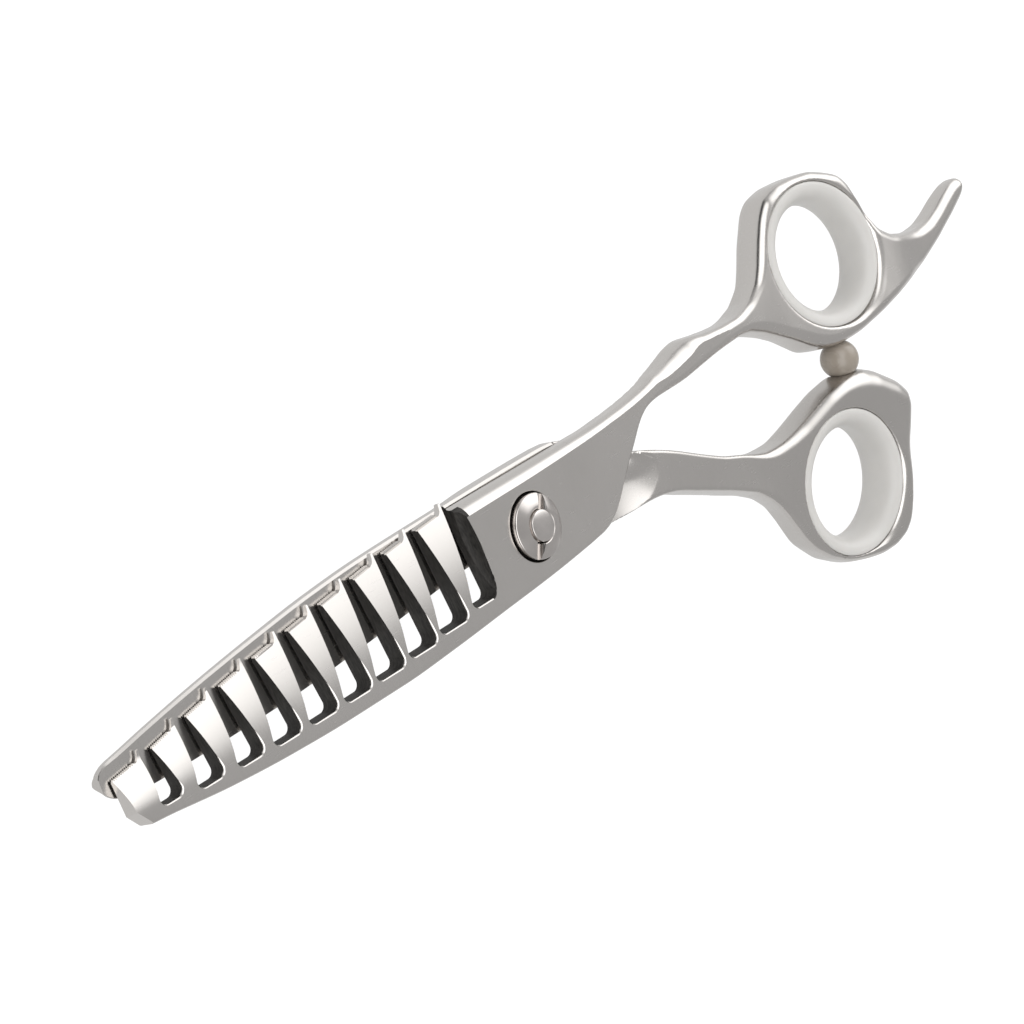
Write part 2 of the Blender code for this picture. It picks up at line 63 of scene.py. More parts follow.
# ------------------------------------------------------------------ sizes (mm)
STRAIGHT_BACK, STRAIGHT_FACE, TOOTHED_BACK, TOOTHED_FACE = 1.3, 3.85, 4.15, 6.9
TEETH, TOOTH_PITCH, TOOTH_TIP_WIDTH, FIRST_TIP, SPINE_TAPER = 10, 6.31, 4.35, -70.3, 0.8
BORE_R, RING_UP, RING_DOWN = 10.2, 3.44, 2.8
UPPER_RING, UPPER_LEAN = (70.7, 11.55, 5.2), (-0.13, 0.09, 1.0)
LOWER_RING, LOWER_LEAN = (62.5, -18.4, 4.2), (-0.10, -0.10, 1.0)
BALL_CENTRE, BALL_R = (69.0, -2.92, 6.2), 2.7
SEAM = 11.5  # the blades are lofted up to here and the handles follow from here

TOOTHED_LOW = [
    (-76.9, -3.6), (-76.3, -5.3), (-75.2, -5.95), (-70, -6.5), (-60, -7.55),
    (-50, -8.15), (-40, -8.4), (-30, -8.4), (-20, -8.0), (-10, -7.4), (0, -6.8),
    (7, -6.2), (12, -5.6), (14, -5.0), (16, -3.7), (20, 0.0), (23, 2.5), (25.5, 4.6),
    (27.5, 5.6), (30, 6.0), (36, 6.1), (41, 6.6), (46, 7.1), (51, 7.3), (55, 6.2),
    (58, 4.7), (60.2, 3.7),
]
TOOTHED_HIGH = [
    (-76.9, -0.4), (-75, -0.1), (-70.3, 0.5), (-64, 1.55), (-57.6, 2.55),
    (-51.1, 3.45), (-44.9, 4.15), (-38.6, 4.85), (-32.2, 5.55), (-25.8, 6.25),
    (-19.3, 6.8), (-12.6, 7.2), (-6, 7.2), (5, 7.15), (15, 7.15), (22, 7.5),
    (28, 8.2), (33, 9.4), (37.5, 10.6), (40, 10.7), (43, 10.2), (47, 9.8),
    (50, 10.2), (53, 11.3), (56, 13.8), (58.2, 16.6), (60.2, 19.0),
]
TOOTHED_BOTTOM = [
    (26, 4.15), (29, 4.0), (33, 3.3), (40, 2.5), (47, 1.9), (52, 1.4), (56, 0.7),
    (60.2, 0.3),
]
STRAIGHT_HIGH = [
    (-76.6, 0.85), (-76.3, 1.25), (-75.9, 1.55), (-75, 1.95), (-72, 2.45), (-67.4, 3.2), (-57.3, 4.6),
    (-47.1, 5.75), (-37, 6.7), (-27, 7.25), (-12, 7.5), (3, 7.6), (10.5, 7.5),
    (13, 7.0), (16, 5.3), (20, 2.8), (24, 0.85), (27, -0.1),
]
STRAIGHT_LOW = [
    (-76.6, -0.8), (-76.3, -1.25), (-75.8, -1.7), (-74.9, -2.2), (-72, -2.8), (-67, -3.04),
    (-54, -3.14), (-47.7, -3.1), (-41, -2.9), (-34.8, -2.55), (-28.8, -2.2),
    (-22.4, -1.75), (-16, -1.25), (-10, -0.9), (-8.2, -1.6), (-6.6, -4.6),
    (-4.6, -6.0), (0, -6.4), (8, -6.0), (15, -5.5), (20, -5.4), (24, -5.6), (27, -6.0),
]
SHANK_HIGH = [
    (14, 5.9), (19, 3.4), (23.4, 1.2), (26, 0.3), (30.3, -1.5), (34.3, -3.5), (39.4, -5.9), (44.4, -7.9),
    (47.4, -8.6), (50.5, -8.4), (53.5, -7.3),
]
SHANK_LOW = [
    (14, -5.56), (19, -5.5), (23.4, -5.6), (27.6, -6.2), (32.4, -8.0), (37.4, -10.0), (42.4, -12.0),
    (45.5, -13.4), (48, -15.6), (50.5, -19.0), (53.5, -23.0),
]
SHANK_TOP = [(22, 6.3), (26.2, 6.35), (30, 6.55), (40, 6.65), (48, 6.8), (53.5, 6.9)]
SHANK_BOTTOM = [(22, 1.3), (26, 1.2), (32, 0.9), (42, 0.5), (53.5, 0.1)]
# plan outlines of the handles, clockwise from the top of the shank: the front face's
# corner and the back's, where the walls draw in
UPPER_FRONT = [
    (33, 8.8), (36, 9.15), (38.6, 9.9), (40, 10.4), (41.5, 10.4), (44, 9.95), (48, 9.75),
    (51.3, 9.85), (54.4, 10.8), (57.2, 12.5), (58.8, 14.3), (60.4, 16.8), (62.4, 19.8),
    (64.6, 22.0), (67.4, 22.8), (70.8, 22.8), (74.5, 22.4), (77.3, 21.3), (79.3, 20.3),
    (80.4, 18.7), (81.1, 15.9), (81.9, 13.2), (82.9, 10.9), (85.2, 9.3), (88.8, 8.35),
    (92.6, 7.8), (95.5, 8.0), (98.4, 8.9), (101.3, 10.1), (103.8, 11.0), (105.8, 11.3),
    (107.0, 10.9), (107.3, 9.8), (106.2, 8.7), (102.5, 7.1), (97.3, 5.05), (91, 3.0),
    (83.4, 1.5), (76.9, 0.2), (72.9, -0.45), (70.3, -0.6), (67.5, -0.5), (65.3, 0.1),
    (63.3, 1.1), (60.8, 2.75), (58.5, 4.2), (56.1, 5.8), (53.3, 6.95), (50.5, 7.35),
]
UPPER_REAR = [
    (33, 9.3), (37.5, 10.5), (40, 10.7), (43, 10.2), (47, 9.6), (50, 9.3), (52.5, 9.4),
    (55.3, 10.1), (57.7, 12.2), (59.2, 14.9), (60.6, 17.4), (62.1, 19.4), (63.3, 21.1),
    (64.9, 22.3), (67.6, 22.8), (70.8, 22.7), (74.5, 22.1), (76.9, 21.0), (78.9, 19.5),
    (80.0, 18.2), (81.1, 15.4), (81.9, 13.1), (83.2, 10.8), (85.6, 9.2), (89, 8.3),
    (92.6, 7.7), (95.5, 7.9), (98.4, 8.8), (101.3, 10.0), (103.8, 10.9), (105.8, 11.2),
    (107.0, 10.8), (107.2, 9.8), (106.2, 8.8), (102.5, 7.2), (97.3, 5.15), (91, 3.15),
    (83.4, 1.8), (76.7, 0.7), (72.8, 0.0), (70.3, -0.1), (67.4, -0.1), (65.4, 0.05),
    (63.6, 0.5), (61.9, 2.1), (60.0, 3.8), (57.8, 5.2), (55.5, 6.1), (53, 6.85), (50.5, 7.2),
]
LOWER_FRONT = [
    (39.4, -5.9), (43.1, -7.1), (45.7, -7.9), (47.9, -8.4), (50.4, -8.5), (53.3, -8.2),
    (56, -7.75), (58.9, -6.9), (62.5, -5.8), (65.7, -5.2), (68.6, -4.85), (70.7, -4.9),
    (73.3, -5.9), (77.3, -8.7), (79.0, -10.6), (79.1, -12.9), (77.8, -15.9), (76.2, -19.0),
    (74.8, -22.3), (73.7, -25.4), (72.4, -27.9), (70.7, -29.4), (68.2, -30.2), (65.3, -30.2), (62.1, -29.5),
    (58.5, -28.5), (55.4, -26.9), (52.6, -24.7), (50.5, -22.1), (49.0, -19.5), (47.6, -16.9),
    (45.9, -14.7), (43.6, -12.8), (40.0, -11.1),
]
LOWER_REAR = [
    (39.4, -5.9), (43.1, -7.2), (45.7, -8.1), (48.9, -9.0), (52.0, -9.0), (55.8, -7.7),
    (59.4, -6.4), (62.9, -5.3), (66.5, -4.7), (70.0, -5.0), (73.0, -6.7), (76.4, -9.4),
    (77.5, -11.2), (77.3, -13.1), (76.1, -16.4), (75.0, -19.3), (74.0, -22.2), (72.8, -25.0),
    (70.7, -27.4), (68.2, -28.9), (65.5, -29.6), (62.9, -29.8), (59.5, -29.2), (55.4, -26.7),
    (52.4, -23.3), (51.0, -19.4), (49.7, -16.6), (47.6, -14.5), (44.5, -12.85), (40.0, -11.1),
]
HUB_RIM = [
    (22.8, 1.4), (25.0, 0.1), (26.55, -1.2), (26.3, -2.95), (25.4, -3.85), (24.05, -4.95),
    (22.5, -5.35),
]
# the tang: x, height of its middle, half thickness
TANG = [
    (79.2, 6.9, 1.9), (82, 6.9, 2.5), (85, 6.9, 2.55), (88, 6.8, 2.4), (92.5, 6.6, 2.2),
    (97, 6.5, 2.0), (101, 6.4, 1.9), (104.5, 6.4, 1.7), (108, 6.4, 1.5),
]
TANG_END = 107.85
SLOT_FLOOR = [
    (-71.2, -67.6, -5.1), (-65.3, -61.0, -5.8), (-58.8, -54.3, -6.1),
    (-52.6, -47.8, -6.3), (-46.4, -41.3, -6.4), (-40.1, -35.1, -6.4),
    (-34.1, -28.8, -6.3), (-27.8, -22.5, -6.0), (-21.6, -16.2, -5.6),
    (-14.8, -10.2, -5.0),
]


# ---------------------------------------------------------------- smooth curves
class Curve:
    """A smooth monotone curve through stations, read for whole arrays at once."""

    def __init__(self, stations, loop=None):
        if loop:
            stations = (
                [(a - loop, r) for a, r in stations]
                + list(stations)
                + [(a + loop, r) for a, r in stations]
            )
        xs = np.array([s[0] for s in stations], float)
        ys = np.array([s[1] for s in stations], float)
        step = np.diff(xs)
        slope = np.diff(ys) / step
        m = np.zeros(len(xs))
        m[0], m[-1] = slope[0], slope[-1]
        for i in range(1, len(xs) - 1):
            if slope[i - 1] * slope[i] > 0:
                w1, w2 = 2 * step[i] + step[i - 1], step[i] + 2 * step[i - 1]
                m[i] = (w1 + w2) / (w1 / slope[i - 1] + w2 / slope[i])
        self.t = np.linspace(xs[0], xs[-1], 4001)
        i = np.clip(np.searchsorted(xs, self.t, side="right") - 1, 0, len(step) - 1)
        t = (self.t - xs[i]) / step[i]
        self.v = (
            ys[i] * (2 * t**3 - 3 * t**2 + 1)
            + step[i] * m[i] * (t**3 - 2 * t**2 + t)
            + ys[i + 1] * (3 * t**2 - 2 * t**3)
            + step[i] * m[i + 1] * (t**3 - t**2)
        )
        self.s = np.gradient(self.v, self.t)

    def __call__(self, x):
        return np.interp(x, self.t, self.v)

    def slope(self, x):
        return np.interp(x, self.t, self.s)


def ramp(x, low, high):
    t = np.clip((x - low) / (high - low), 0.0, 1.0)
    return t * t * (3 - 2 * t)


def mix(a, b, t):
    return a + (b - a) * t


def smax(a, b, k):
    """The larger of two fields, with a rounded join k wide."""
    h = np.maximum(k - np.abs(a - b), 0.0) / k
    return np.maximum(a, b) + h * h * k * 0.25


BEVEL = Curve([(-13, 1.6), (0, 1.45), (10, 1.2), (20, 0.9), (28, 0.9), (35, 1.3), (39, 1.4),
               (43, 0.8), (47, 0.65), (60, 0.65)])
T_LOW, T_HIGH, T_BOTTOM = Curve(TOOTHED_LOW), Curve(TOOTHED_HIGH), Curve(TOOTHED_BOTTOM)
S_LOW, S_HIGH = Curve(STRAIGHT_LOW), Curve(STRAIGHT_HIGH)
K_LOW, K_HIGH = Curve(SHANK_LOW), Curve(SHANK_HIGH)
K_TOP, K_BOTTOM = Curve(SHANK_TOP), Curve(SHANK_BOTTOM)
G_Z, G_H = Curve([(t[0], t[1]) for t in TANG]), Curve([(t[0], t[2]) for t in TANG])


class Outline:
    """Depth inside a closed smooth outline, tabulated once and read with a cubic."""

    STEP = 0.2

    def __init__(self, points, soften=0.55):
        p = np.array(points, float)
        q = np.vstack([p, p[:1]])
        run = np.r_[0, np.cumsum(np.linalg.norm(np.diff(q, axis=0), axis=1))]
        n = int(run[-1] / 0.12)
        s = run[-1] * np.arange(n) / n
        c = np.interp(s, run, q[:, 0]) + 1j * np.interp(s, run, q[:, 1])
        freq = np.fft.fftfreq(n, run[-1] / n)
        c = np.fft.ifft(np.fft.fft(c) * np.exp(-2 * (math.pi * freq * soften) ** 2))
        v = np.stack([c.real, c.imag], 1)
        w = np.roll(v, -1, 0)
        area = (v[:, 0] * w[:, 1] - w[:, 0] * v[:, 1]).sum()
        if area < 0:
            v, w = w[::-1], v[::-1]
        self.low = v.min(0) - 3.0
        nx, ny = (np.ceil((v.max(0) + 3.0 - self.low) / self.STEP) + 1).astype(int)
        gx, gy = np.meshgrid(
            self.low[0] + self.STEP * np.arange(nx), self.low[1] + self.STEP * np.arange(ny),
            indexing="ij",
        )
        g = np.stack([gx.ravel(), gy.ravel()], 1)
        near = np.empty(len(g), int)
        vv = (v * v).sum(1)
        for i in range(0, len(g), 8000):
            near[i : i + 8000] = (vv - 2 * g[i : i + 8000] @ v.T).argmin(1)
        best = np.full(len(g), 1e9)
        side = np.zeros(len(g))
        for shift in (-1, 0):
            a = v[(near + shift) % n]
            e = w[(near + shift) % n] - a
            r = g - a
            t = ((r * e).sum(1) / (e * e).sum(1)).clip(0, 1)
            d = np.linalg.norm(r - e * t[:, None], axis=1)
            cross = e[:, 0] * r[:, 1] - e[:, 1] * r[:, 0]
            side = np.where(d < best, np.sign(cross), side)
            best = np.minimum(d, best)
        self.table = (best * side).reshape(nx, ny)

    def __call__(self, x, y):
        nx, ny = self.table.shape
        u = ((x - self.low[0]) / self.STEP).clip(1.0, nx - 2.001)
        w = ((y - self.low[1]) / self.STEP).clip(1.0, ny - 2.001)
        i, j = u.astype(int), w.astype(int)
        u, w = u - i, w - j
        total = np.zeros(len(x))
        flat = self.table.ravel()
        base = (i - 1) * ny + j - 1
        for a, wa in enumerate(self.cubic(u)):
            row = np.zeros(len(x))
            for b, wb in enumerate(self.cubic(w)):
                row += wb * flat[base + a * ny + b]
            total += wa * row
        return total

    @staticmethod
    def cubic(t):
        t2, t3 = t * t, t * t * t
        return (
            (1 - 3 * t + 3 * t2 - t3) / 6, (4 - 6 * t2 + 3 * t3) / 6,
            (1 + 3 * t + 3 * t2 - 3 * t3) / 6, t3 / 6,
        )


def closed(high, low, middle, start, first, last):
    """A curve out along the top, the given points, and a curve back along the bottom."""
    out = [(x, float(high(x))) for x in np.arange(start, first, 1.0)]
    back = [(x, float(low(x))) for x in np.arange(start, last, 1.0)]
    return out + list(middle) + back[::-1]


UPPER_F = Outline(closed(T_HIGH, T_LOW, UPPER_FRONT, 7.0, 32.0, 49.6))
UPPER_B = Outline(closed(T_HIGH, T_LOW, UPPER_REAR, 7.0, 32.0, 49.6))
LOWER_F = Outline(closed(K_HIGH, K_LOW, LOWER_FRONT, 14.5, 38.6, 39.4))
LOWER_B = Outline(closed(K_HIGH, K_LOW, LOWER_REAR, 14.5, 38.6, 39.4))


# ---------------------------------------------------------------- mesh helpers
def link(name, mesh):
    ob = bpy.data.objects.new(name, mesh)
    SCENE.collection.objects.link(ob)
    return ob


def from_rings(name, rings, loop=False, smooth_angle=None):
    """Quads between rings of points in millimetres, closed flat at the ends."""
    rows, n = len(rings), len(rings[0])
    pts = np.array(rings, float).reshape(-1, 3) * MM
    faces = []
    last = rows if loop else rows - 1
    for a in range(last):
        b = (a + 1) % rows
        for i in range(n):
            j = (i + 1) % n
            faces.append((a * n + i, a * n + j, b * n + j, b * n + i))
    if not loop:
        faces.append(tuple(range(n - 1, -1, -1)))
        faces.append(tuple((rows - 1) * n + i for i in range(n)))
    mesh = bpy.data.meshes.new(name)
    mesh.from_pydata(pts.tolist(), [], faces)
    mesh.update()
    bm = bmesh.new()
    bm.from_mesh(mesh)
    bmesh.ops.recalc_face_normals(bm, faces=bm.faces)
    if bm.calc_volume(signed=True) < 0:
        bmesh.ops.reverse_faces(bm, faces=bm.faces)
    bm.to_mesh(mesh)
    bm.free()
    ob = link(name, mesh)
    if smooth_angle:
        mesh.shade_smooth()
        mesh.set_sharp_from_angle(angle=math.radians(smooth_angle))
    return ob


def prism(name, levels):
    """A tool solid through outlines at several heights: [(z, [(x, y), ...]), ...]."""
    return from_rings(name, [[(x, y, z) for x, y in outline] for z, outline in levels])


def leaning(lean):
    z = Vector(lean).normalized()
    guide = Vector((1, 0, 0))
    x = (guide - z * z.dot(guide)).normalized()
    return Matrix((x, z.cross(x), z)).transposed()


def turned(name, profile, steps=128, at=(0, 0, 0), lean=(0, 0, 1), loop=True, angle=38.0):
    """A (radius, height) profile turned about an axis. A closed profile makes a ring,
    an open one starts and ends on the axis."""
    turn = np.array(leaning(lean))
    prof = np.array(profile, float)
    a = 2 * math.pi * np.arange(steps) / steps + 0.019
    pts = np.stack(
        [
            prof[None, :, 0] * np.cos(a)[:, None],
            prof[None, :, 0] * np.sin(a)[:, None],
            np.broadcast_to(prof[None, :, 1], (steps, len(prof))),
        ],
        -1,
    )
    pts = pts @ turn.T + np.array(at)
    if loop:
        return from_rings(name, pts, loop=True, smooth_angle=angle)
    rings = [pts[:, k, :] for k in range(len(prof))]
    return from_rings(name, rings, smooth_angle=angle)


def cut(ob, tools, angle=19.0, weighted=True):
    """Takes the tools away from the object and leaves one clean mesh."""
    for tool in tools:
        mod = ob.modifiers.new("cut", "BOOLEAN")
        mod.operation, mod.solver, mod.object = "DIFFERENCE", "EXACT", tool
        if hasattr(mod, "material_mode"):
            mod.material_mode = "INDEX"
    deps = bpy.context.evaluated_depsgraph_get()
    mesh = bpy.data.meshes.new_from_object(ob.evaluated_get(deps))
    ob.modifiers.clear()
    old, ob.data = ob.data, mesh
    bpy.data.meshes.remove(old)
    for tool in tools:
        data = tool.data
        bpy.data.objects.remove(tool, do_unlink=True)
        bpy.data.meshes.remove(data)
    bm = bmesh.new()
    bm.from_mesh(mesh)
    bmesh.ops.remove_doubles(bm, verts=bm.verts, dist=2e-6)
    bmesh.ops.dissolve_degenerate(bm, edges=bm.edges, dist=1e-6)
    bm.to_mesh(mesh)
    bm.free()
    mesh.materials.clear()
    mesh.shade_smooth()
    mesh.set_sharp_from_angle(angle=math.radians(angle))
    if weighted:
        mod = ob.modifiers.new("face_normals", "WEIGHTED_NORMAL")
        mod.keep_sharp, mod.weight, mod.mode = True, 90, "FACE_AREA"
    return ob


# ------------------------------------------------- solids from a distance field
def gradient(f, p, h=0.004):
    g = np.empty_like(p)
    for k in range(3):
        d = np.zeros(3)
        d[k] = h
        g[:, k] = (f(p + d) - f(p - d)) / (2 * h)
    return g


def contour(name, f, xs, ys, zs):
    """A closed mesh of f = 0. Each cell's point is placed by the planes that cross its
    edges, so creases stay crisp."""
    nx, ny, nz = len(xs), len(ys), len(zs)
    v = np.empty((nx, ny, nz), np.float32)
    yy, zz = np.meshgrid(ys, zs, indexing="ij")
    for i in range(0, nx, 8):
        part = xs[i : i + 8]
        p = np.empty((len(part), ny, nz, 3))
        p[..., 0] = part[:, None, None]
        p[..., 1] = yy[None]
        p[..., 2] = zz[None]
        v[i : i + 8] = f(p.reshape(-1, 3)).reshape(len(part), ny, nz)
    inside = v < 0
    grids = (xs, ys, zs)
    shape = np.array((nx - 1, ny - 1, nz - 1))

    def cell_id(c):
        return (c[:, 0] * shape[1] + c[:, 1]) * shape[2] + c[:, 2]

    all_points, all_normals, all_cells, quads = [], [], [], []
    for axis in range(3):
        a = [slice(None)] * 3
        b = [slice(None)] * 3
        a[axis], b[axis] = slice(0, -1), slice(1, None)
        change = inside[tuple(a)] != inside[tuple(b)]
        idx = np.argwhere(change)
        o1, o2 = (axis + 1) % 3, (axis + 2) % 3
        keep = (
            (idx[:, o1] > 0)
            & (idx[:, o2] > 0)
            & (idx[:, o1] < shape[o1])
            & (idx[:, o2] < shape[o2])
        )
        idx = idx[keep]
        nxt = idx.copy()
        nxt[:, axis] += 1
        va = v[tuple(idx.T)].astype(float)
        vb = v[tuple(nxt.T)].astype(float)
        pa = np.stack([grids[k][idx[:, k]] for k in range(3)], 1)
        pb = np.stack([grids[k][nxt[:, k]] for k in range(3)], 1)
        ta, tb = np.zeros(len(idx)), np.ones(len(idx))
        fa, fb = va.copy(), vb.copy()
        t = fa / (fa - fb)
        for _ in range(4):  # the crossing along the grid edge
            fm = f(pa + (pb - pa) * t[:, None])
            same = (fm < 0) == (fa < 0)
            ta, fa = np.where(same, t, ta), np.where(same, fm, fa)
            tb, fb = np.where(same, tb, t), np.where(same, fb, fm)
            t = np.where(np.abs(fa - fb) > 1e-12, ta + (tb - ta) * fa / (fa - fb), ta)
            t = np.clip(t, ta, tb)
        p = pa + (pb - pa) * t[:, None]
        n = gradient(f, p)
        n /= np.linalg.norm(n, axis=1)[:, None] + 1e-12
        around = []
        for s1, s2 in ((-1, -1), (0, -1), (0, 0), (-1, 0)):
            c = idx.copy()
            c[:, o1] += s1
            c[:, o2] += s2
            cid = cell_id(c)
            around.append(cid)
            all_cells.append(cid)
            all_points.append(p)
            all_normals.append(n)
        q = np.stack(around, 1)
        flip = va > 0
        q[flip] = q[flip][:, ::-1]
        quads.append(q)
    cells = np.concatenate(all_cells)
    pts = np.concatenate(all_points)
    nor = np.concatenate(all_normals)
    ids, inv = np.unique(cells, return_inverse=True)
    count = np.bincount(inv, minlength=len(ids)).astype(float)
    mean = np.stack([np.bincount(inv, pts[:, k], len(ids)) for k in range(3)], 1)
    mean /= count[:, None]
    rel = pts - mean[inv]
    dist = (nor * rel).sum(1)
    A = np.zeros((len(ids), 3, 3))
    B = np.zeros((len(ids), 3))
    for r in range(3):
        B[:, r] = np.bincount(inv, nor[:, r] * dist, len(ids))
        for c in range(3):
            A[:, r, c] = np.bincount(inv, nor[:, r] * nor[:, c], len(ids))
    A += np.eye(3) * 0.08
    move = np.linalg.solve(A, B[:, :, None])[:, :, 0]
    ci = np.stack(
        [ids // (shape[1] * shape[2]), (ids // shape[2]) % shape[1], ids % shape[2]], 1
    )
    low = np.stack([grids[k][ci[:, k]] for k in range(3)], 1)
    high = np.stack([grids[k][ci[:, k] + 1] for k in range(3)], 1)
    verts = np.clip(mean + move, low, high)
    faces = np.searchsorted(ids, np.concatenate(quads))
    mesh = bpy.data.meshes.new(name)
    mesh.vertices.add(len(verts))
    mesh.vertices.foreach_set("co", (verts * MM).astype(np.float32).ravel())
    mesh.loops.add(faces.size)
    mesh.loops.foreach_set("vertex_index", faces.astype(np.int32).ravel())
    mesh.polygons.add(len(faces))
    mesh.polygons.foreach_set("loop_start", np.arange(0, faces.size, 4, dtype=np.int32))
    mesh.update(calc_edges=True)
    mesh.validate()
    return mesh


def handle_piece(name, f, xs, ys, zs):
    """The contour cut flat and capped at the seam plane, with the field's own normals."""
    ob = link(name, contour(name, f, xs, ys, zs))
    bm = bmesh.new()
    bm.from_mesh(ob.data)
    res = bmesh.ops.bisect_plane(
        bm,
        geom=bm.verts[:] + bm.edges[:] + bm.faces[:],
        plane_co=Vector((SEAM * MM, 0, 0)),
        plane_no=Vector((-1, 0, 0)),
        clear_outer=True,
    )
    rim = [e for e in res["geom_cut"] if isinstance(e, bmesh.types.BMEdge)]
    cap = {f.index for f in bmesh.ops.holes_fill(bm, edges=rim, sides=0)["faces"]}
    bm.to_mesh(ob.data)
    bm.free()
    mesh = ob.data
    n = len(mesh.loops)
    loops, co = np.empty(n, np.int32), np.empty(len(mesh.vertices) * 3)
    mesh.loops.foreach_get("vertex_index", loops)
    mesh.vertices.foreach_get("co", co)
    totals, middle = np.empty(len(mesh.polygons), np.int32), np.empty(len(mesh.polygons) * 3)
    mesh.polygons.foreach_get("loop_total", totals)
    mesh.polygons.foreach_get("center", middle)
    owner = np.repeat(np.arange(len(totals)), totals)
    corner = co.reshape(-1, 3)[loops] / MM
    centre = middle.reshape(-1, 3)[owner] / MM
    normal = gradient(f, corner + 0.35 * (centre - corner))
    normal /= np.linalg.norm(normal, axis=1)[:, None] + 1e-12
    facing = np.empty(len(mesh.polygons) * 3)
    mesh.polygons.foreach_get("normal", facing)
    facing = facing.reshape(-1, 3)[owner]
    on_cap = (np.abs(facing[:, 0]) > 0.999) & (centre[:, 0] < SEAM + 1e-3)
    normal[on_cap] = (-1, 0, 0)
    odd = (normal * facing).sum(1) < 0.2
    normal[odd] = facing[odd]
    mesh.shade_smooth()
    mesh.normals_split_custom_set(normal.tolist())
    return ob


def steps(*runs):
    """Grid lines: (start, step) pairs, then the end."""
    out, end = [], runs[-1]
    for (a, s), nxt in zip(runs[:-1], list(runs[1:-1]) + [(end, 0)], strict=True):
        n = max(1, round((nxt[0] - a) / s))
        out += list(a + (nxt[0] - a) * np.arange(n) / n)
    return np.array(out + [end])


def corner(p, h, r, keep=1.0):
    """The solid p > 0, h > 0 with its edge rounded; keep < 1 leaves a crisp line where
    the round meets the face h = 0."""
    a, b = r - p, keep * r - h
    return np.maximum(np.where((a > 0) & (b > 0), np.hypot(a, b) - r, -p), -h)


def rounded(p, z, mid, h, r):
    """Plan depth p and height z as a solid h half-thick with edges of radius r."""
    a, b = r - p, np.abs(z - mid) - (h - r)
    return np.minimum(np.maximum(a, b), 0.0) + np.hypot(np.maximum(a, 0), np.maximum(b, 0)) - r


def band(x, y, low, high):
    """Depth inside the band between two curves along X."""
    a = (y - low(x)) / np.sqrt(1 + low.slope(x) ** 2)
    b = (high(x) - y) / np.sqrt(1 + high.slope(x) ** 2)
    return np.minimum(a, b)


def bore_field(p, centre, lean):
    axis = np.array(Vector(lean).normalized())
    v = p - np.array(centre)
    along = v @ axis
    return BORE_R - np.sqrt(np.maximum((v * v).sum(1) - along**2, 0))


def walls(front, rear, x, y, z, bottom, top, bulge):
    """Depth inside walls that run from the rear outline to the front one."""
    s = ((z - bottom) / (top - bottom)).clip(-0.2, 1.2)
    t = (2 * s - 1).clip(-1, 1)
    return mix(rear(x, y), front(x, y), s) + bulge * (1 - t * t)


def upper_handle(p):
    x, y, z = p[:, 0], p[:, 1], p[:, 2]
    w = ramp(x, 50, 62)
    out = 1 - ramp(x, 80, 96)
    xp = x - UPPER_LEAN[0] * w * out * (z - UPPER_RING[2])
    yp = y - UPPER_LEAN[1] * w * out * (z - UPPER_RING[2])
    top, bottom = TOOTHED_FACE + 0.0 * x, T_BOTTOM(x)
    level = (
        UPPER_RING[2] - UPPER_LEAN[0] * (x - UPPER_RING[0]) - UPPER_LEAN[1] * (y - UPPER_RING[1])
    )
    k = ramp(x, 49, 60)
    top, bottom = mix(top, level + RING_UP, k), mix(bottom, level - RING_DOWN, k)
    k = ramp(x, 77.0, 91.0)
    end = np.sqrt(np.clip(1 - ((x - TANG_END + 1.6) / 1.75).clip(0, 1) ** 2, 0.02, 1))
    top, bottom = mix(top, G_Z(x) + G_H(x) * end, k), mix(bottom, G_Z(x) - G_H(x) * end, k)
    mid, half = (top + bottom) / 2, (top - bottom) / 2
    ring = ramp(x, 52, 60) * (1 - ramp(x, 81, 86))
    depth = walls(UPPER_F, UPPER_B, xp, yp, z, bottom, top, 0.15 * ramp(x, 28, 40) + 0.2 * ring)
    r_low = mix(mix(0.12, 1.0, ramp(x, 25, 38)), mix(1.2, 2.1, ramp(yp, 2.0, 8.0)), ring)
    r_low = np.minimum(r_low, half * 0.94)
    # the upper edge of the shank rolls off from a crisp line, the rest is rounded
    upper = ramp(y - (T_LOW(x) + T_HIGH(x)) / 2, -0.4, 0.4) * (1 - ramp(x, 44, 50))
    soft_edge = mix(mix(0.4, 1.0, ramp(x, 22, 38)), 1.3, ramp(x, 50, 56))
    r_top = mix(soft_edge, BEVEL(x) / 0.593, upper)
    keep = mix(1.0, 0.914, upper)
    r_top = np.minimum(r_top, half * 1.6)
    d = np.maximum(corner(depth, top - z, r_top, keep), corner(depth, z - bottom, r_low))
    far = ramp(xp, 68, 76) * (1 - ramp(yp, 13, 18)) * ramp(z, mid, mid + 1.0)
    return smax(d, bore_field(p, UPPER_RING, UPPER_LEAN), 0.45 + 1.4 * far)


def rim_depth(x, y):
    """Depth inside the crisp rim where the hub's ramp meets the shank."""
    total = 0.0
    for (ax, ay), (bx, by) in zip(HUB_RIM, HUB_RIM[1:]):
        d = ((x - ax) * (by - ay) - (y - ay) * (bx - ax)) / math.hypot(bx - ax, by - ay)
        total = total + np.exp((-d / 0.35).clip(-60, 60))
    return -0.35 * np.log(total)


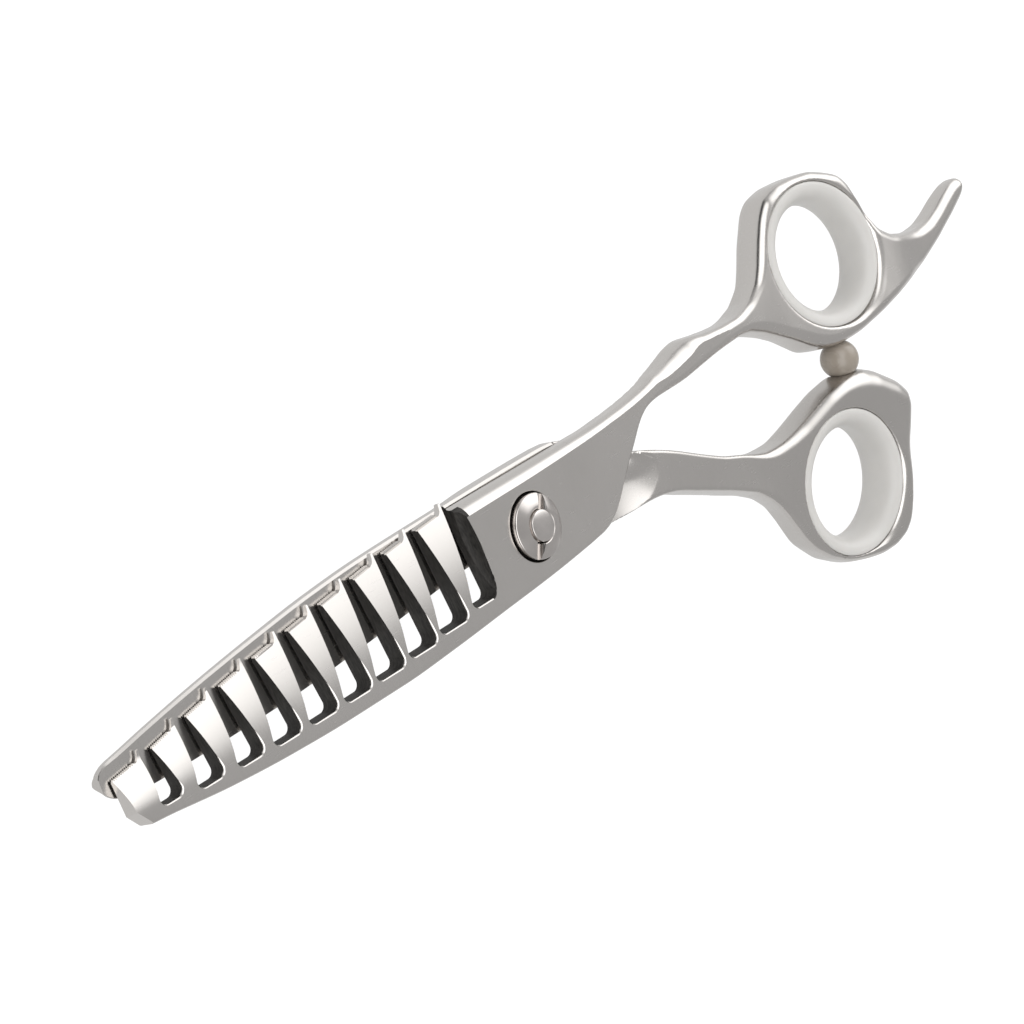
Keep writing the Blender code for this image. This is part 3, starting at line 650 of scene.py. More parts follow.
def lower_handle(p):
    x, y, z = p[:, 0], p[:, 1], p[:, 2]
    w = ramp(x, 42, 54)
    xp = x - LOWER_LEAN[0] * w * (z - LOWER_RING[2])
    yp = y - LOWER_LEAN[1] * w * (z - LOWER_RING[2])
    # hub plate of the ricasso
    plate = np.minimum(band(x, y, S_LOW, S_HIGH), 24.8 - x)
    hub = rounded(plate, z, (STRAIGHT_BACK + STRAIGHT_FACE) / 2,
                  (STRAIGHT_FACE - STRAIGHT_BACK) / 2, np.where(z > 2.5, 0.3, 0.5))
    # shank and ring
    level = (
        LOWER_RING[2] - LOWER_LEAN[0] * (x - LOWER_RING[0]) - LOWER_LEAN[1] * (y - LOWER_RING[1])
    )
    k = ramp(x, 42, 53)
    top, bottom = mix(K_TOP(x), level + RING_UP, k), mix(K_BOTTOM(x), level - RING_DOWN, k)
    mid, half = (top + bottom) / 2, (top - bottom) / 2
    ring = ramp(x, 47, 55)
    depth = walls(LOWER_F, LOWER_B, xp, yp, z, bottom, top, 0.15 + 0.2 * ring)
    angle = np.degrees(np.arctan2(yp - LOWER_RING[1], xp - LOWER_RING[0]))
    broad = ramp(angle, -22, 8) * (1 - ramp(angle, 48, 85)) * ramp(x, 62, 70)
    front = mix(mix(0.45, 1.3, ramp(x, 42, 50)), 2.8, broad)
    r = np.where(z > mid, front, mix(1.0, 2.1, ring))
    body = rounded(depth, z, mid, half, np.minimum(r, half * 0.94))
    # the other half swings past here, so the shank rises from a hollow-ground step
    across = np.maximum(0.0, (x - 16.0) * 0.663 - (y + 3.7) * 0.749)
    inside = rim_depth(x, y)
    run = np.maximum(across + np.maximum(inside, 0.0), 0.3)
    s = (across / run).clip(0, 1)
    floor = STRAIGHT_FACE - 0.05 + 2.6 * s**1.2
    hollow = (z - floor) / np.sqrt(1 + (3.1 / run) ** 2)
    body = smax(body, np.minimum(hollow, inside), mix(0.12, 0.7, ramp(y, -1.5, 0.3)))
    d = -smax(-hub, -body, 0.2)
    far = ramp(xp, 60, 68) * (1 - ramp(yp, -21, -15)) * ramp(z, mid, mid + 1.0)
    d = smax(d, bore_field(p, LOWER_RING, LOWER_LEAN), 0.4 + 1.0 * far)
    # dished seat for the bumper
    ball = BALL_R + 0.06 - np.sqrt(((p - np.array(BALL_CENTRE)) ** 2).sum(1))
    return smax(d, ball, 0.25)


# ---------------------------------------------------------------- blade lofts
def arc(cy, cz, r, start, end, n):
    """Points of a quarter round in a cross section, angles in degrees."""
    out = []
    for k in range(n + 1):
        a = math.radians(mix(start, end, k / n))
        out.append((cy + r * math.cos(a), cz + r * math.sin(a)))
    return out


def face_height(x):
    return TOOTHED_FACE - SPINE_TAPER * (1.0 - ramp(x, -80.0, -14.0) ** 0.6)


def toothed_section(x):
    """The half from its spine (low Y) to its tooth tips or top edge (high Y)."""
    y0, y1 = float(T_LOW(x)), float(T_HIGH(x))
    teeth = 1.0 - float(ramp(x, -11.95, -11.5))
    zt, zb = float(face_height(x)), TOOTHED_BACK
    if teeth > 0.5:
        y1 += 1.6  # left long here, the tip tool trims it
    drop = teeth * min(1.75, zt - zb - 0.4)
    w = y1 - y0
    span = w - (1.6 if teeth > 0.5 else 0.0)
    ct0 = 0.42
    roll = min(float(BEVEL(x)) / 0.593, (zt - drop - zb - 0.3) / 0.914)
    ct1 = 0.06 if teeth > 0.5 else 0.593 * roll
    cb = 0.12
    if x < -75.0:
        ct0 = mix(0.42, 0.15, (-75.0 - x) / 1.9)
    low = arc(y0 + cb, zb + cb, cb, 270, 180, 2)
    low += arc(y0 + ct0, zt - ct0, ct0, 180, 90, 6)
    top = []
    for k in range(1, 16):
        f = k / 16
        y = mix(y0 + ct0, y1 - ct1, f)
        g = (y - y0) / span
        top.append((y, zt - drop * max(0.0, (g - 0.25) / 0.75) ** 1.7))
    g = (y1 - ct1 - y0) / span
    end_z = zt - drop * max(0.0, (g - 0.25) / 0.75) ** 1.7
    if teeth > 0.5:
        end_z = max(end_z, zb + cb + ct1 + 0.08)
    top = [(y, max(z, end_z)) for y, z in top]
    high = arc(y1 - ct1, end_z - ct1, ct1, 90, 0, 6)
    if teeth < 0.5:  # the ricasso's upper edge rolls off from a crisp line
        high = arc(y1 - roll, end_z - 0.914 * roll, roll, 66, 0, 6)
    high += arc(y1 - cb, zb + cb, cb, 0, -90, 2)
    return [(x, y, z) for y, z in low + top + high]


def build_toothed_blade():
    xs = [-76.9, -76.7, -76.45, -76.1, -75.6, -75.0]
    xs += list(np.arange(-74.0, -12.5, 1.5)) + [-12.2, -11.95, -11.72, -11.5]
    xs += [-10.3, -8.2, -5.8, -3.1, 0.3, 3.2, 6.1, 8.9, SEAM]
    blade = from_rings("toothed_blade_part", [toothed_section(float(x)) for x in xs])
    tools = []
    for k, (left, right, floor) in enumerate(SLOT_FLOOR):
        last = k == TEETH - 1
        tip = FIRST_TIP + TOOTH_PITCH * k + (0.9 if last else 0.0)
        high = float(T_HIGH(tip))
        mouth_right = -11.75 if last else tip + TOOTH_PITCH - TOOTH_TIP_WIDTH
        reach = (high + 3.0 - floor) / (high - floor)
        r = 0.95

        def outline(grow):
            wide = 0.0 if last else grow
            pts = [(mix(left, tip, reach) - grow, high + 3.0)]
            for a in range(180, 271, 10):
                pts.append(
                    (
                        left + r + (r + grow) * math.cos(math.radians(a)),
                        floor + r + (r + grow) * math.sin(math.radians(a)),
                    )
                )
            for a in range(270, 361, 10):
                pts.append(
                    (
                        right - r + (r + wide) * math.cos(math.radians(a)),
                        floor + r + (r + grow) * math.sin(math.radians(a)),
                    )
                )
            pts.append((mix(right, mouth_right, reach) + wide, high + 3.0))
            return pts

        zf = float(face_height((left + right) / 2))
        tools.append(
            prism(
                f"slot_{k}",
                [
                    (3.0, outline(0.0)), (zf - 0.24, outline(0.0)),
                    (zf - 0.12, outline(0.05)), (zf + 0.01, outline(0.19)),
                    (9.0, outline(0.19)),
                ],
            )
        )
    # the tooth tips: straight in front, serrated behind, with a horn at each right corner
    front, back = [(-90.0, 14.0), (-90.0, -0.5)], [(-90.0, 14.0), (-90.0, -0.5)]
    for k in range(TEETH):
        tip = FIRST_TIP + TOOTH_PITCH * k + (0.9 if k == TEETH - 1 else 0.0)
        start = tip - TOOTH_TIP_WIDTH - 1.2 if k else -77.2
        end = tip - 1.2
        front += [(start, float(T_HIGH(start)) - 0.05), (end, float(T_HIGH(end)) - 0.04)]
        n = int((end - start) / 0.31)
        for i in range(n):
            xa = mix(start, end, i / n)
            xb = mix(start, end, (i + 0.5) / n)
            back += [(xa, float(T_HIGH(xa)) + 0.02), (xb, float(T_HIGH(xb)) + 0.3)]
        horn = float(T_HIGH(tip))
        for line in (front, back):
            line += [(tip - 1.0, horn - 0.05), (tip - 0.72, horn + 0.08), (tip - 0.48, horn + 0.35)]
            line += [(tip - 0.3, horn + 0.72), (tip - 0.16, horn + 1.15), (tip + 0.5, horn + 1.2)]
            line += [(tip + 0.65, horn - 0.6)]
    for line in (front, back):
        line += [(-11.9, 8.6), (-11.9, 14.0)]
    tools.append(prism("tip_back", [(3.2, back), (4.86, back)]))
    tools.append(prism("tip_front", [(4.84, front), (9.2, front)]))
    # the first tooth's nose is blunt, with its lower corner ground away
    for at, way in (((-75.1, -2.0, 5.2), (-0.99, -0.07, 0.08)), ((-74.0, -5.4, 5.3), (-0.76, -0.62, 0.16))):
        facing = Vector(way).normalized()
        across = facing.cross(Vector((0, 0, 1))).normalized()
        axes = Matrix((across, facing.cross(across), facing)).transposed().to_4x4()
        bm = bmesh.new()
        bmesh.ops.create_cube(bm, size=1.0)
        bmesh.ops.transform(
            bm,
            matrix=Matrix.Translation(Vector(at) * MM) @ axes
            @ Matrix.Translation(Vector((0, 0, 5.0)) * MM)
            @ Matrix.Diagonal((30 * MM, 30 * MM, 10 * MM, 1.0)),
            verts=bm.verts,
        )
        mesh = bpy.data.meshes.new("nose")
        bm.to_mesh(mesh)
        bm.free()
        tools.append(link("nose", mesh))
    # hollow-ground start of the ricasso
    bm = bmesh.new()
    bmesh.ops.create_uvsphere(bm, u_segments=48, v_segments=32, radius=1.0)
    bmesh.ops.transform(
        bm,
        matrix=Matrix.Translation(Vector((-11.1, 1.9, 7.2)) * MM)
        @ Matrix.Rotation(math.radians(7.5), 4, "Z")
        @ Matrix.Diagonal((1.0 * MM, 6.4 * MM, 2.0 * MM, 1.0)),
        verts=bm.verts,
    )
    mesh = bpy.data.meshes.new("hollow")
    bm.to_mesh(mesh)
    bm.free()
    tools.append(link("hollow", mesh))
    # pivot seat: washer recess, bushing bore, counterbore with a broken edge
    a = [2 * math.pi * k / 96 + 0.017 for k in range(96)]
    tools.append(
        from_rings(
            "nut_seat",
            [
                [(r * math.cos(t), r * math.sin(t), z) for t in a]
                for r, z in (
                    (6.3, 3.0), (6.3, 4.65), (3.2, 4.65), (3.2, 5.3), (4.5, 5.3),
                    (4.5, 6.8), (4.53, 6.86), (4.59, 6.905), (4.59, 9.5),
                )
            ],
        )
    )
    return cut(blade, tools)


def straight_section(x):
    y0, y1 = float(S_LOW(x)), float(S_HIGH(x))
    blade = 1.0 - float(ramp(x, -13.0, -4.0))
    full = STRAIGHT_FACE - STRAIGHT_BACK
    thin = mix(0.62, 1.0, float(ramp(x, -78.0, -20.0)))
    spine = mix(full, 1.65 * thin, blade)
    edge = mix(full, 0.35, blade)
    z, w = STRAIGHT_FACE, y1 - y0
    near = float(ramp(x, -77.0, -73.0))
    ct = mix(0.08, 0.3, near)
    c = 0.1
    pts = arc(y0 + c, z - c, c, 180, 90, 2)
    for f in (0.2, 0.4, 0.6, 0.8):
        pts.append((mix(y0 + c, y1 - ct, f), z))
    pts += [(y1 - ct, z), (y1 - 0.0, z - ct)]
    pts += arc(y1 - 0.22, z - spine + 0.22, 0.22, 0, -90, 4)
    r = 0.3 * mix(1, 0, blade)
    for f, t in ((0.86, 2.0), (0.72, 2.2), (0.6, 2.31), (0.5, 2.35), (0.4, 2.12), (0.3, 1.75),
                 (0.2, 1.32), (0.12, 0.9)):
        pts.append((y0 + f * w, z - mix(full, t * thin, blade)))
    pts += [(y0 + c + r, z - edge), (y0, z - edge + c + r)]
    return [(x, yy, zz) for yy, zz in pts]


def build_straight_blade():
    xs = [-76.6, -76.5, -76.3, -76.1, -75.7, -75.2, -74.6, -74.0]
    xs += list(np.arange(-73.0, -12.5, 1.5)) + list(np.arange(-12.0, -4.0, 0.35))
    xs += [-3.4, -2.1, 0.1, 2.2, 4.8, 7.1, 9.3, SEAM]
    blade = from_rings("straight_blade_part", [straight_section(float(x)) for x in xs])
    a = [2 * math.pi * k / 96 + 0.017 for k in range(96)]
    hole = from_rings(
        "stud_hole",
        [
            [(r * math.cos(t), r * math.sin(t), z) for t in a]
            for r, z in ((2.75, 0.5), (2.75, 3.35), (6.3, 3.35), (6.3, 5.0))
        ],
    )
    return cut(blade, [hole])


def join(name, first, second):
    """Two solids that meet on the seam plane become one object."""
    deps = bpy.context.evaluated_depsgraph_get()
    meshes = []
    for ob in (first, second):
        mesh = bpy.data.meshes.new_from_object(
            ob.evaluated_get(deps), preserve_all_data_layers=True, depsgraph=deps
        )
        meshes.append(mesh)
    co, loops, starts, totals, normals, sharp = [], [], [], [], [], []
    offset = loop_offset = 0
    for mesh in meshes:
        n = len(mesh.vertices)
        a = np.empty(n * 3, np.float32)
        mesh.vertices.foreach_get("co", a)
        co.append(a)
        li = np.empty(len(mesh.loops), np.int32)
        mesh.loops.foreach_get("vertex_index", li)
        loops.append(li + offset)
        st = np.empty(len(mesh.polygons), np.int32)
        mesh.polygons.foreach_get("loop_start", st)
        starts.append(st + loop_offset)
        cn = np.empty(len(mesh.loops) * 3, np.float32)
        mesh.corner_normals.foreach_get("vector", cn)
        normals.append(cn.reshape(-1, 3))
        offset += n
        loop_offset += len(mesh.loops)
    out = bpy.data.meshes.new(name)
    out.vertices.add(offset)
    out.vertices.foreach_set("co", np.concatenate(co))
    out.loops.add(loop_offset)
    out.loops.foreach_set("vertex_index", np.concatenate(loops))
    st = np.concatenate(starts)
    out.polygons.add(len(st))
    out.polygons.foreach_set("loop_start", st)
    out.update(calc_edges=True)
    out.shade_smooth()
    out.normals_split_custom_set(np.concatenate(normals).tolist())
    for ob in (first, second):
        bpy.data.objects.remove(ob, do_unlink=True)
    return link(name, out)


# ------------------------------------------------------------------- materials
class Nodes:
    def __init__(self, name):
        self.mat = bpy.data.materials.new(name)
        self.mat.use_nodes = True
        self.tree = self.mat.node_tree
        self.shader = self.tree.nodes["Principled BSDF"]
        self.coord = self.tree.nodes.new("ShaderNodeTexCoord").outputs["Object"]

    def new(self, kind, **inputs):
        node = self.tree.nodes.new(kind)
        for key, value in inputs.items():
            name = key.replace("_", " ")
            if hasattr(value, "is_output"):
                self.tree.links.new(value, node.inputs[name])
            else:
                node.inputs[name].default_value = value
        return node

    def link(self, a, b):
        self.tree.links.new(a, b)

    def mapped(self, scale, turn=(0, 0, 0)):
        node = self.tree.nodes.new("ShaderNodeMapping")
        node.inputs["Scale"].default_value = scale
        node.inputs["Rotation"].default_value = turn
        self.link(self.coord, node.inputs["Vector"])
        return node.outputs["Vector"]

    def noise(self, vector, scale, detail=3.0, rough=0.5):
        node = self.tree.nodes.new("ShaderNodeTexNoise")
        node.inputs["Scale"].default_value = scale
        node.inputs["Detail"].default_value = detail
        node.inputs["Roughness"].default_value = rough
        self.link(vector, node.inputs["Vector"])
        return node.outputs["Fac"]

    def spread(self, value, a, b, c, d):
        node = self.tree.nodes.new("ShaderNodeMapRange")
        node.inputs["From Min"].default_value = a
        node.inputs["From Max"].default_value = b
        node.inputs["To Min"].default_value = c
        node.inputs["To Max"].default_value = d
        self.link(value, node.inputs["Value"])
        return node.outputs["Result"]

    def math(self, how, a, b):
        node = self.tree.nodes.new("ShaderNodeMath")
        node.operation = how
        for i, value in enumerate((a, b)):
            if hasattr(value, "is_output"):
                self.link(value, node.inputs[i])
            else:
                node.inputs[i].default_value = value
        return node.outputs[0]

    def tint(self, fac, dark, light):
        node = self.tree.nodes.new("ShaderNodeMix")
        node.data_type = "RGBA"
        node.inputs["A"].default_value = (*dark, 1)
        node.inputs["B"].default_value = (*light, 1)
        self.link(fac, node.inputs["Factor"])
        return node.outputs["Result"]

    def bump(self, height, strength, distance, normal=None):
        node = self.tree.nodes.new("ShaderNodeBump")
        node.inputs["Strength"].default_value = strength
        node.inputs["Distance"].default_value = distance
        self.link(height, node.inputs["Height"])
        if normal:
            self.link(normal, node.inputs["Normal"])
        return node.outputs["Normal"]


def steel(name, colour, rough, grain, depth=1.0, cloud=0.02, turn=0.0):
    """Ground or polished steel. grain is the stretch of the marks along X, Y and Z."""
    n = Nodes(name)
    fine = n.noise(n.mapped(grain, (0, 0, turn)), 1.0, 3.0, 0.5)
    smudge = n.noise(n.coord, 60.0, 3.0, 0.5)
    scratch = n.noise(n.mapped((260.0, 5200.0, 5200.0), (0, 0, turn + 0.6)), 1.0, 1.0, 0.3)
    scratch = n.spread(scratch, 0.70, 0.78, 0.0, 1.0)
    dark = tuple(c * (1 - 1.3 * cloud) for c in colour)
    light = tuple(min(1.0, c * (1 + 1.3 * cloud)) for c in colour)
    mood = n.math("ADD", n.math("MULTIPLY", smudge, 0.55), n.math("MULTIPLY", fine, 0.45))
    n.link(n.tint(n.spread(mood, 0.32, 0.68, 0.0, 1.0), dark, light), n.shader.inputs["Base Color"])
    r = n.math("ADD", n.spread(smudge, 0.3, 0.7, rough - 0.02, rough + 0.02),
               n.spread(fine, 0.3, 0.7, -0.01, 0.012))
    r = n.math("ADD", r, n.math("MULTIPLY", scratch, 0.05))
    n.link(r, n.shader.inputs["Roughness"])
    n.shader.inputs["Metallic"].default_value = 1.0
    normal = n.bump(fine, 0.07 * depth, 4e-6)
    normal = n.bump(scratch, 0.03 * depth, 2e-6, normal)
    n.link(normal, n.shader.inputs["Normal"])
    return n.mat


def painted_shade_black(name):
    """A dull near-black finish that paints the shade in the slot walls, the ricasso scoop and the nut's
    counterbore gap.
    """
    n = Nodes(name)
    marks = n.noise(n.mapped((900.0, 900.0, 5200.0)), 1.0, 3.0, 0.6)
    n.link(n.tint(n.spread(marks, 0.3, 0.7, 0.0, 1.0), (0.016, 0.015, 0.014), (0.05, 0.047, 0.043)),
           n.shader.inputs["Base Color"])
    n.shader.inputs["Metallic"].default_value = 0.0
    n.shader.inputs["Roughness"].default_value = 0.62
    n.shader.inputs["Specular IOR Level"].default_value = 0.25
    n.link(n.bump(marks, 0.2, 8e-6), n.shader.inputs["Normal"])
    return n.mat


def turned_steel(name, colour, rough, centre, rings=5200.0):
    """Steel with fine turning marks about an upright axis."""
    n = Nodes(name)
    shift = n.tree.nodes.new("ShaderNodeMapping")
    shift.inputs["Location"].default_value = (-centre[0] * MM, -centre[1] * MM, 0)
    n.link(n.coord, shift.inputs["Vector"])
    flat = n.tree.nodes.new("ShaderNodeVectorMath")
    flat.operation = "MULTIPLY"
    flat.inputs[1].default_value = (1, 1, 0)
    n.link(shift.outputs["Vector"], flat.inputs[0])
    length = n.tree.nodes.new("ShaderNodeVectorMath")
    length.operation = "LENGTH"
    n.link(flat.outputs[0], length.inputs[0])
    line = n.tree.nodes.new("ShaderNodeTexNoise")
    line.noise_dimensions = "1D"
    line.inputs["Scale"].default_value = rings
    line.inputs["Detail"].default_value = 3.0
    n.link(length.outputs["Value"], line.inputs["W"])
    smudge = n.noise(n.coord, 420.0, 3.0, 0.6)
    n.link(
        n.tint(n.spread(smudge, 0.3, 0.7, 0.0, 1.0), tuple(c * 0.93 for c in colour),
               tuple(min(1, c * 1.06) for c in colour)),
        n.shader.inputs["Base Color"],
    )
    n.link(n.spread(smudge, 0.3, 0.7, rough - 0.03, rough + 0.04), n.shader.inputs["Roughness"])
    n.shader.inputs["Metallic"].default_value = 1.0
    n.link(n.bump(line.outputs["Fac"], 0.22, 4e-6), n.shader.inputs["Normal"])
    return n.mat


def soft(name, colour, rough, scatter, grain_scale, lift, specular=0.4):
    """Moulded silicone, rubber or nylon: a faint grain, small shade changes, some depth."""
    n = Nodes(name)
    cloud = n.noise(n.coord, 130.0, 3.0, 0.55)
    grain = n.noise(n.coord, grain_scale, 2.0, 0.5)
    n.link(
        n.tint(n.spread(cloud, 0.3, 0.7, 0.0, 1.0), tuple(c * 0.955 for c in colour),
               tuple(min(1, c * 1.03) for c in colour)),
        n.shader.inputs["Base Color"],
    )
    n.link(n.spread(cloud, 0.3, 0.7, rough - 0.05, rough + 0.06), n.shader.inputs["Roughness"])
    n.shader.inputs["Specular IOR Level"].default_value = specular
    if scatter:
        n.shader.inputs["Subsurface Weight"].default_value = scatter
        n.shader.inputs["Subsurface Radius"].default_value = (1.0, 0.9, 0.8)
        n.shader.inputs["Subsurface Scale"].default_value = 0.0008
    n.link(n.bump(grain, lift, 8e-6), n.shader.inputs["Normal"])
    return n.mat


# ------------------------------------------------------------------ the pieces
FINE_TOP = steel("toothed_satin", (0.60, 0.578, 0.556), 0.24, (5200.0, 420.0, 5200.0), 0.5)
FINE_REAR = steel("straight_satin", (0.57, 0.549, 0.528), 0.24, (5200.0, 420.0, 5200.0), 0.2)
# painted shade: this near-black finish stands for the shade in the slots, the scoop and the counterbore gap
PAINTED_SHADE_BLACK = painted_shade_black("painted_shade_slot_walls")
PIN = steel("pin_satin", (0.58, 0.56, 0.55), 0.3, (2600.0, 2600.0, 400.0))
SPRING = turned_steel("spring_temper", (0.42, 0.40, 0.39), 0.3, (0, 0), 4200.0)
NUT = turned_steel("nut_turned", (0.56, 0.53, 0.51), 0.2, (0, 0), 5200.0)
STUD = turned_steel("stud_turned", (0.60, 0.57, 0.55), 0.22, (0, 0), 6400.0)
SILICONE = soft("insert_silicone", (0.62, 0.607, 0.585), 0.36, 0.1, 2600.0, 0.05)
SILICONE_LOW = soft("insert_silicone_low", (0.61, 0.597, 0.575), 0.36, 0.1, 2600.0, 0.05)
RUBBER = soft("bumper_rubber", (0.32, 0.28, 0.235), 0.26, 0.0, 3200.0, 0.06, 0.6)
NYLON = soft("washer_nylon", (0.80, 0.79, 0.75), 0.42, 0.1, 3000.0, 0.08)
ACETAL = soft("bushing_acetal", (0.86, 0.85, 0.82), 0.38, 0.1, 3400.0, 0.05)


def finish_piece(ob, mat, body, node):
    ob.data.materials.clear()
    ob.data.materials.append(mat)
    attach(ob, body)
    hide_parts(node)
    return ob


upper = handle_piece(
    "upper_handle_part",
    upper_handle,
    steps((SEAM - 1.0, 0.2), (30.0, 0.27), 108.6),
    np.arange(-7.6, 29.0, 0.25),
    np.arange(-0.9, 11.6, 0.235),
)
lower = handle_piece(
    "lower_handle_part",
    lower_handle,
    steps((SEAM - 1.0, 0.2), (30.0, 0.27), 81.0),
    np.arange(-34.0, 9.2, 0.25),
    np.arange(-1.6, 11.2, 0.235),
)
toothed = join("toothed_half_steel", build_toothed_blade(), upper)
straight = join("straight_half_steel", build_straight_blade(), lower)
finish_piece(toothed, FINE_TOP, "toothed_half", "toothed_blade")
toothed.data.materials.append(PAINTED_SHADE_BLACK)
for face in toothed.data.polygons:  # painted shade: the slot walls, the ricasso scoop and the counterbore gap take the near-black finish for the shade that falls in them
    c, n = face.center / MM, face.normal
    wall = -72.0 < c.x < -9.9 and (c.x < -11.0 or c.y < -2.0) and abs(n.z) < 0.3 and c.y > -6.6
    wall = wall and float(T_LOW(c.x)) + 0.8 < c.y < float(T_HIGH(c.x)) - 0.12
    scoop = -12.3 < c.x < -9.8 and -5.2 < c.y < 7.0 and 4.6 < c.z < 6.86
    seat = math.hypot(c.x, c.y) < 4.7 and 4.4 < c.z < 6.82
    if wall or scoop or seat:
        face.material_index = 1
finish_piece(straight, FINE_REAR, "straight_half", "straight_blade")

# pivot stud: flat back head, neck, domed front end
dome = [(2.02 * math.cos(math.radians(a)), 8.33 + 0.24 * math.sin(math.radians(a)))
        for a in range(0, 90, 9)]
stud = turned(
    "stud_fine",
    [(0.05, 0.0), (4.25, 0.0), (4.5, 0.08), (4.6, 0.25), (4.6, 0.85), (4.52, 0.96), (4.4, 1.0),
     (2.6, 1.0), (2.6, 3.35), (2.55, 3.4), (2.02, 3.5)] + dome + [(0.05, 8.57)],
    96, loop=False,
)
finish_piece(stud, STUD, "straight_half", "pivot_stud")

# tension nut: domed, with a driver slot whose edges are broken
crown = [(4.19, 6.25), (4.23, 6.3), (4.23, 7.42)]
for k in range(0, 10):
    a = math.radians(k * 7.0)
    crown.append((3.98 + 0.25 * math.cos(a), 7.42 + 0.25 * math.sin(a)))
for k in range(1, 9):
    f = k / 8
    crown.append((mix(4.05, 2.5, f), 7.665 + 0.5 * math.sin(f * math.pi * 0.42)))
crown += [(2.36, 8.15), (2.25, 8.08), (2.2, 7.98), (2.2, 6.25)]
nut = turned("nut_fine", crown, 120)
slot_tool = []
for z, w in ((7.3, 0.46), (7.6, 0.47), (7.85, 0.56), (8.1, 0.74), (9.0, 1.2)):
    c, s = math.cos(math.radians(60)), math.sin(math.radians(60))
    slot_tool.append(
        (z, [(u * c - v * s, u * s + v * c) for u, v in ((-6, -w), (6, -w), (6, w), (-6, w))])
    )
nut = cut(nut, [prism("nut_slot", slot_tool)], 28.0)
finish_piece(nut, NUT, "tension_adjuster", "tension_nut")


def insert(name, centre, lean, mat, body, node):
    h, rim, throat = 3.32, 9.65, 7.45
    prof = [(10.16, -h + 0.2), (10.16, h - 0.34), (10.13, h - 0.2), (10.05, h - 0.1), (9.9, h - 0.03),
            (rim, h)]
    for k in range(1, 40):
        t = math.pi * k / 40
        prof.append((rim - (rim - throat) * math.sin(t) ** 0.9, h * math.cos(t)))
    prof += [(rim, -h), (10.0, -h + 0.04)]
    ob = turned(name, prof, 160, centre, lean, angle=60.0)
    return finish_piece(ob, mat, body, node)


insert("insert_upper_soft", UPPER_RING, UPPER_LEAN, SILICONE, "toothed_half",
       "tang_ring_insert")
insert("insert_lower_soft", LOWER_RING, LOWER_LEAN, SILICONE_LOW, "straight_half",
       "thumb_ring_insert")

# bumper ball with its parting line
ball_prof = [(0.95, -2.3), (1.2, -2.36)]
for k in range(0, 60):
    a = math.radians(mix(-60.0, 89.0, k / 59))
    r = BALL_R * (1.0 + 0.006 * math.exp(-((math.degrees(a) / 2.2) ** 2)))
    ball_prof.append((r * math.cos(a), r * math.sin(a)))
ball = turned("bumper_soft", [(0.05, -2.3)] + ball_prof, 96, BALL_CENTRE, (0, 1, 0), loop=False,
              angle=50)
finish_piece(ball, RUBBER, "straight_half", "bumper_ball")

for node, mat in (("pivot_bushing", ACETAL), ("ride_washer", NYLON), ("spring_washer", SPRING),
                  ("bumper_pin", PIN)):
    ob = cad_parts[node]
    for i in range(max(1, len(ob.material_slots))):
        if ob.material_slots:
            ob.material_slots[i].link = "OBJECT"
            ob.material_slots[i].material = mat

# --------------------------------------------------------------- floor and light
low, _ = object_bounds()
mesh = bpy.data.meshes.new("floor")
side = 6.0
z = low.z - 0.0002
mesh.from_pydata([(-side, -side, z), (side, -side, z), (side, side, z), (-side, side, z)], [],
                 [(0, 1, 2, 3)])
floor = link("floor", mesh)
n = Nodes("pale_floor")
n.shader.inputs["Base Color"].default_value = (0.16, 0.16, 0.16, 1)
n.shader.inputs["Roughness"].default_value = 0.9
n.shader.inputs["Specular IOR Level"].default_value = 0.0
n.shader.inputs["Emission Color"].default_value = (1, 1, 1, 1)
direct = n.tree.nodes.new("ShaderNodeLightPath").outputs["Is Camera Ray"]
n.link(n.spread(direct, 0.0, 1.0, 0.64, 0.95), n.shader.inputs["Emission Strength"])
floor.data.materials.append(n.mat)

world = bpy.data.worlds.new("studio")
SCENE.world = world
world.use_nodes = True
wt = world.node_tree
for node in list(wt.nodes):
    wt.nodes.remove(node)
out = wt.nodes.new("ShaderNodeOutputWorld")
back = wt.nodes.new("ShaderNodeBackground")
direction = wt.nodes.new("ShaderNodeTexCoord").outputs["Generated"]


def w_math(how, a, b=0.0, c=0.0):
    node = wt.nodes.new("ShaderNodeMath")
    node.operation = how
    for i, value in enumerate((a, b, c)):
        if hasattr(value, "is_output"):
            wt.links.new(value, node.inputs[i])
        else:
            node.inputs[i].default_value = value
    return node.outputs[0]


def w_dot(vec):
    node = wt.nodes.new("ShaderNodeVectorMath")
    node.operation = "DOT_PRODUCT"
    wt.links.new(direction, node.inputs[0])
    node.inputs[1].default_value = vec
    return node.outputs["Value"]


def w_soft(value, a, b):
    node = wt.nodes.new("ShaderNodeMapRange")
    node.interpolation_type = "SMOOTHSTEP"
    node.inputs["From Min"].default_value = a
    node.inputs["From Max"].default_value = b
    wt.links.new(value, node.inputs["Value"])
    return node.outputs["Result"]


def softbox(vec, outer, inner, power):
    v = Vector(vec).normalized()
    lobe = w_soft(w_dot(v), math.cos(math.radians(outer)), math.cos(math.radians(inner)))
    return w_math("MULTIPLY", lobe, power)


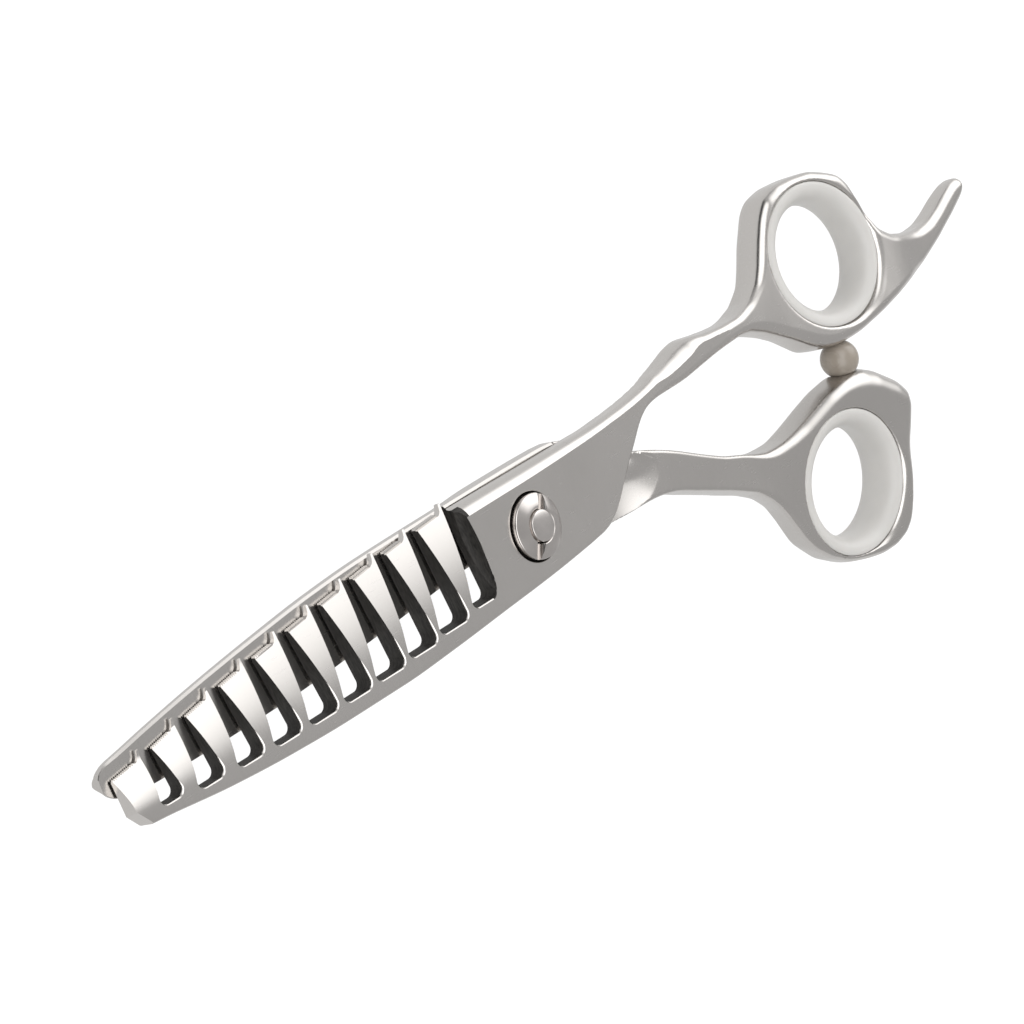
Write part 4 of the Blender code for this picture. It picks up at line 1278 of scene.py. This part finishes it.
light = w_math("ADD", softbox((-0.66, -0.20, 0.68), 34, 17, 1.9), 0.52)
light = w_math("ADD", light, softbox((0.70, 0.46, 0.50), 37, 17, 1.6))
light = w_math("ADD", light, softbox((-0.30, 0.58, 0.74), 27, 14, 1.6))
toward = w_soft(w_dot(Vector((-0.9, 0.42, 0.0)).normalized()), 0.30, 0.60)
height = w_dot(Vector((0, 0, 1)))
lowly = w_math("SUBTRACT", 1.0, w_soft(height, 0.36, 0.50))
dim = w_math("SUBTRACT", 1.0, w_math("MULTIPLY", w_math("MULTIPLY", toward, lowly), 0.90))
light = w_math("MULTIPLY", light, dim)
seen = wt.nodes.new("ShaderNodeLightPath").outputs["Is Camera Ray"]
light = w_math("ADD", w_math("MULTIPLY", light, w_math("SUBTRACT", 1.0, seen)), seen)
wt.links.new(light, back.inputs["Strength"])
back.inputs["Color"].default_value = (1, 1, 1, 1)
wt.links.new(back.outputs[0], out.inputs[0])

area = bpy.data.lights.new("key", "AREA")
area.shape, area.size, area.size_y, area.energy = "RECTANGLE", 0.5, 0.5, 0.7
key = bpy.data.objects.new("key", area)
SCENE.collection.objects.link(key)
key.location = (-0.45, 0.35, 0.9)
key.rotation_mode = "QUATERNION"
key.rotation_quaternion = Vector((-0.45, 0.35, 0.9)).to_track_quat("Z", "Y")
area.use_shadow = True

# ----------------------------------------------------------------------- camera
cam_data = bpy.data.cameras.new("camera")
cam_data.lens, cam_data.sensor_width = 133.6, 36.0
cam_data.clip_start, cam_data.clip_end = 0.01, 50.0
cam = bpy.data.objects.new("camera", cam_data)
SCENE.collection.objects.link(cam)
right = Vector((0.60660, -0.32991, 0.72332))
up = Vector((0.37241, 0.92175, 0.10810))
backward = Vector((-0.70238, 0.20380, 0.68200))
turn = Matrix((right, up, backward)).transposed()
cam.matrix_world = Matrix.Translation(Vector((-0.33470, 0.09943, 0.32897))) @ turn.to_4x4()
SCENE.camera = cam
SCENE.view_settings.view_transform = "Standard"
SCENE.view_settings.look = "None"

bpy.context.view_layer.update()
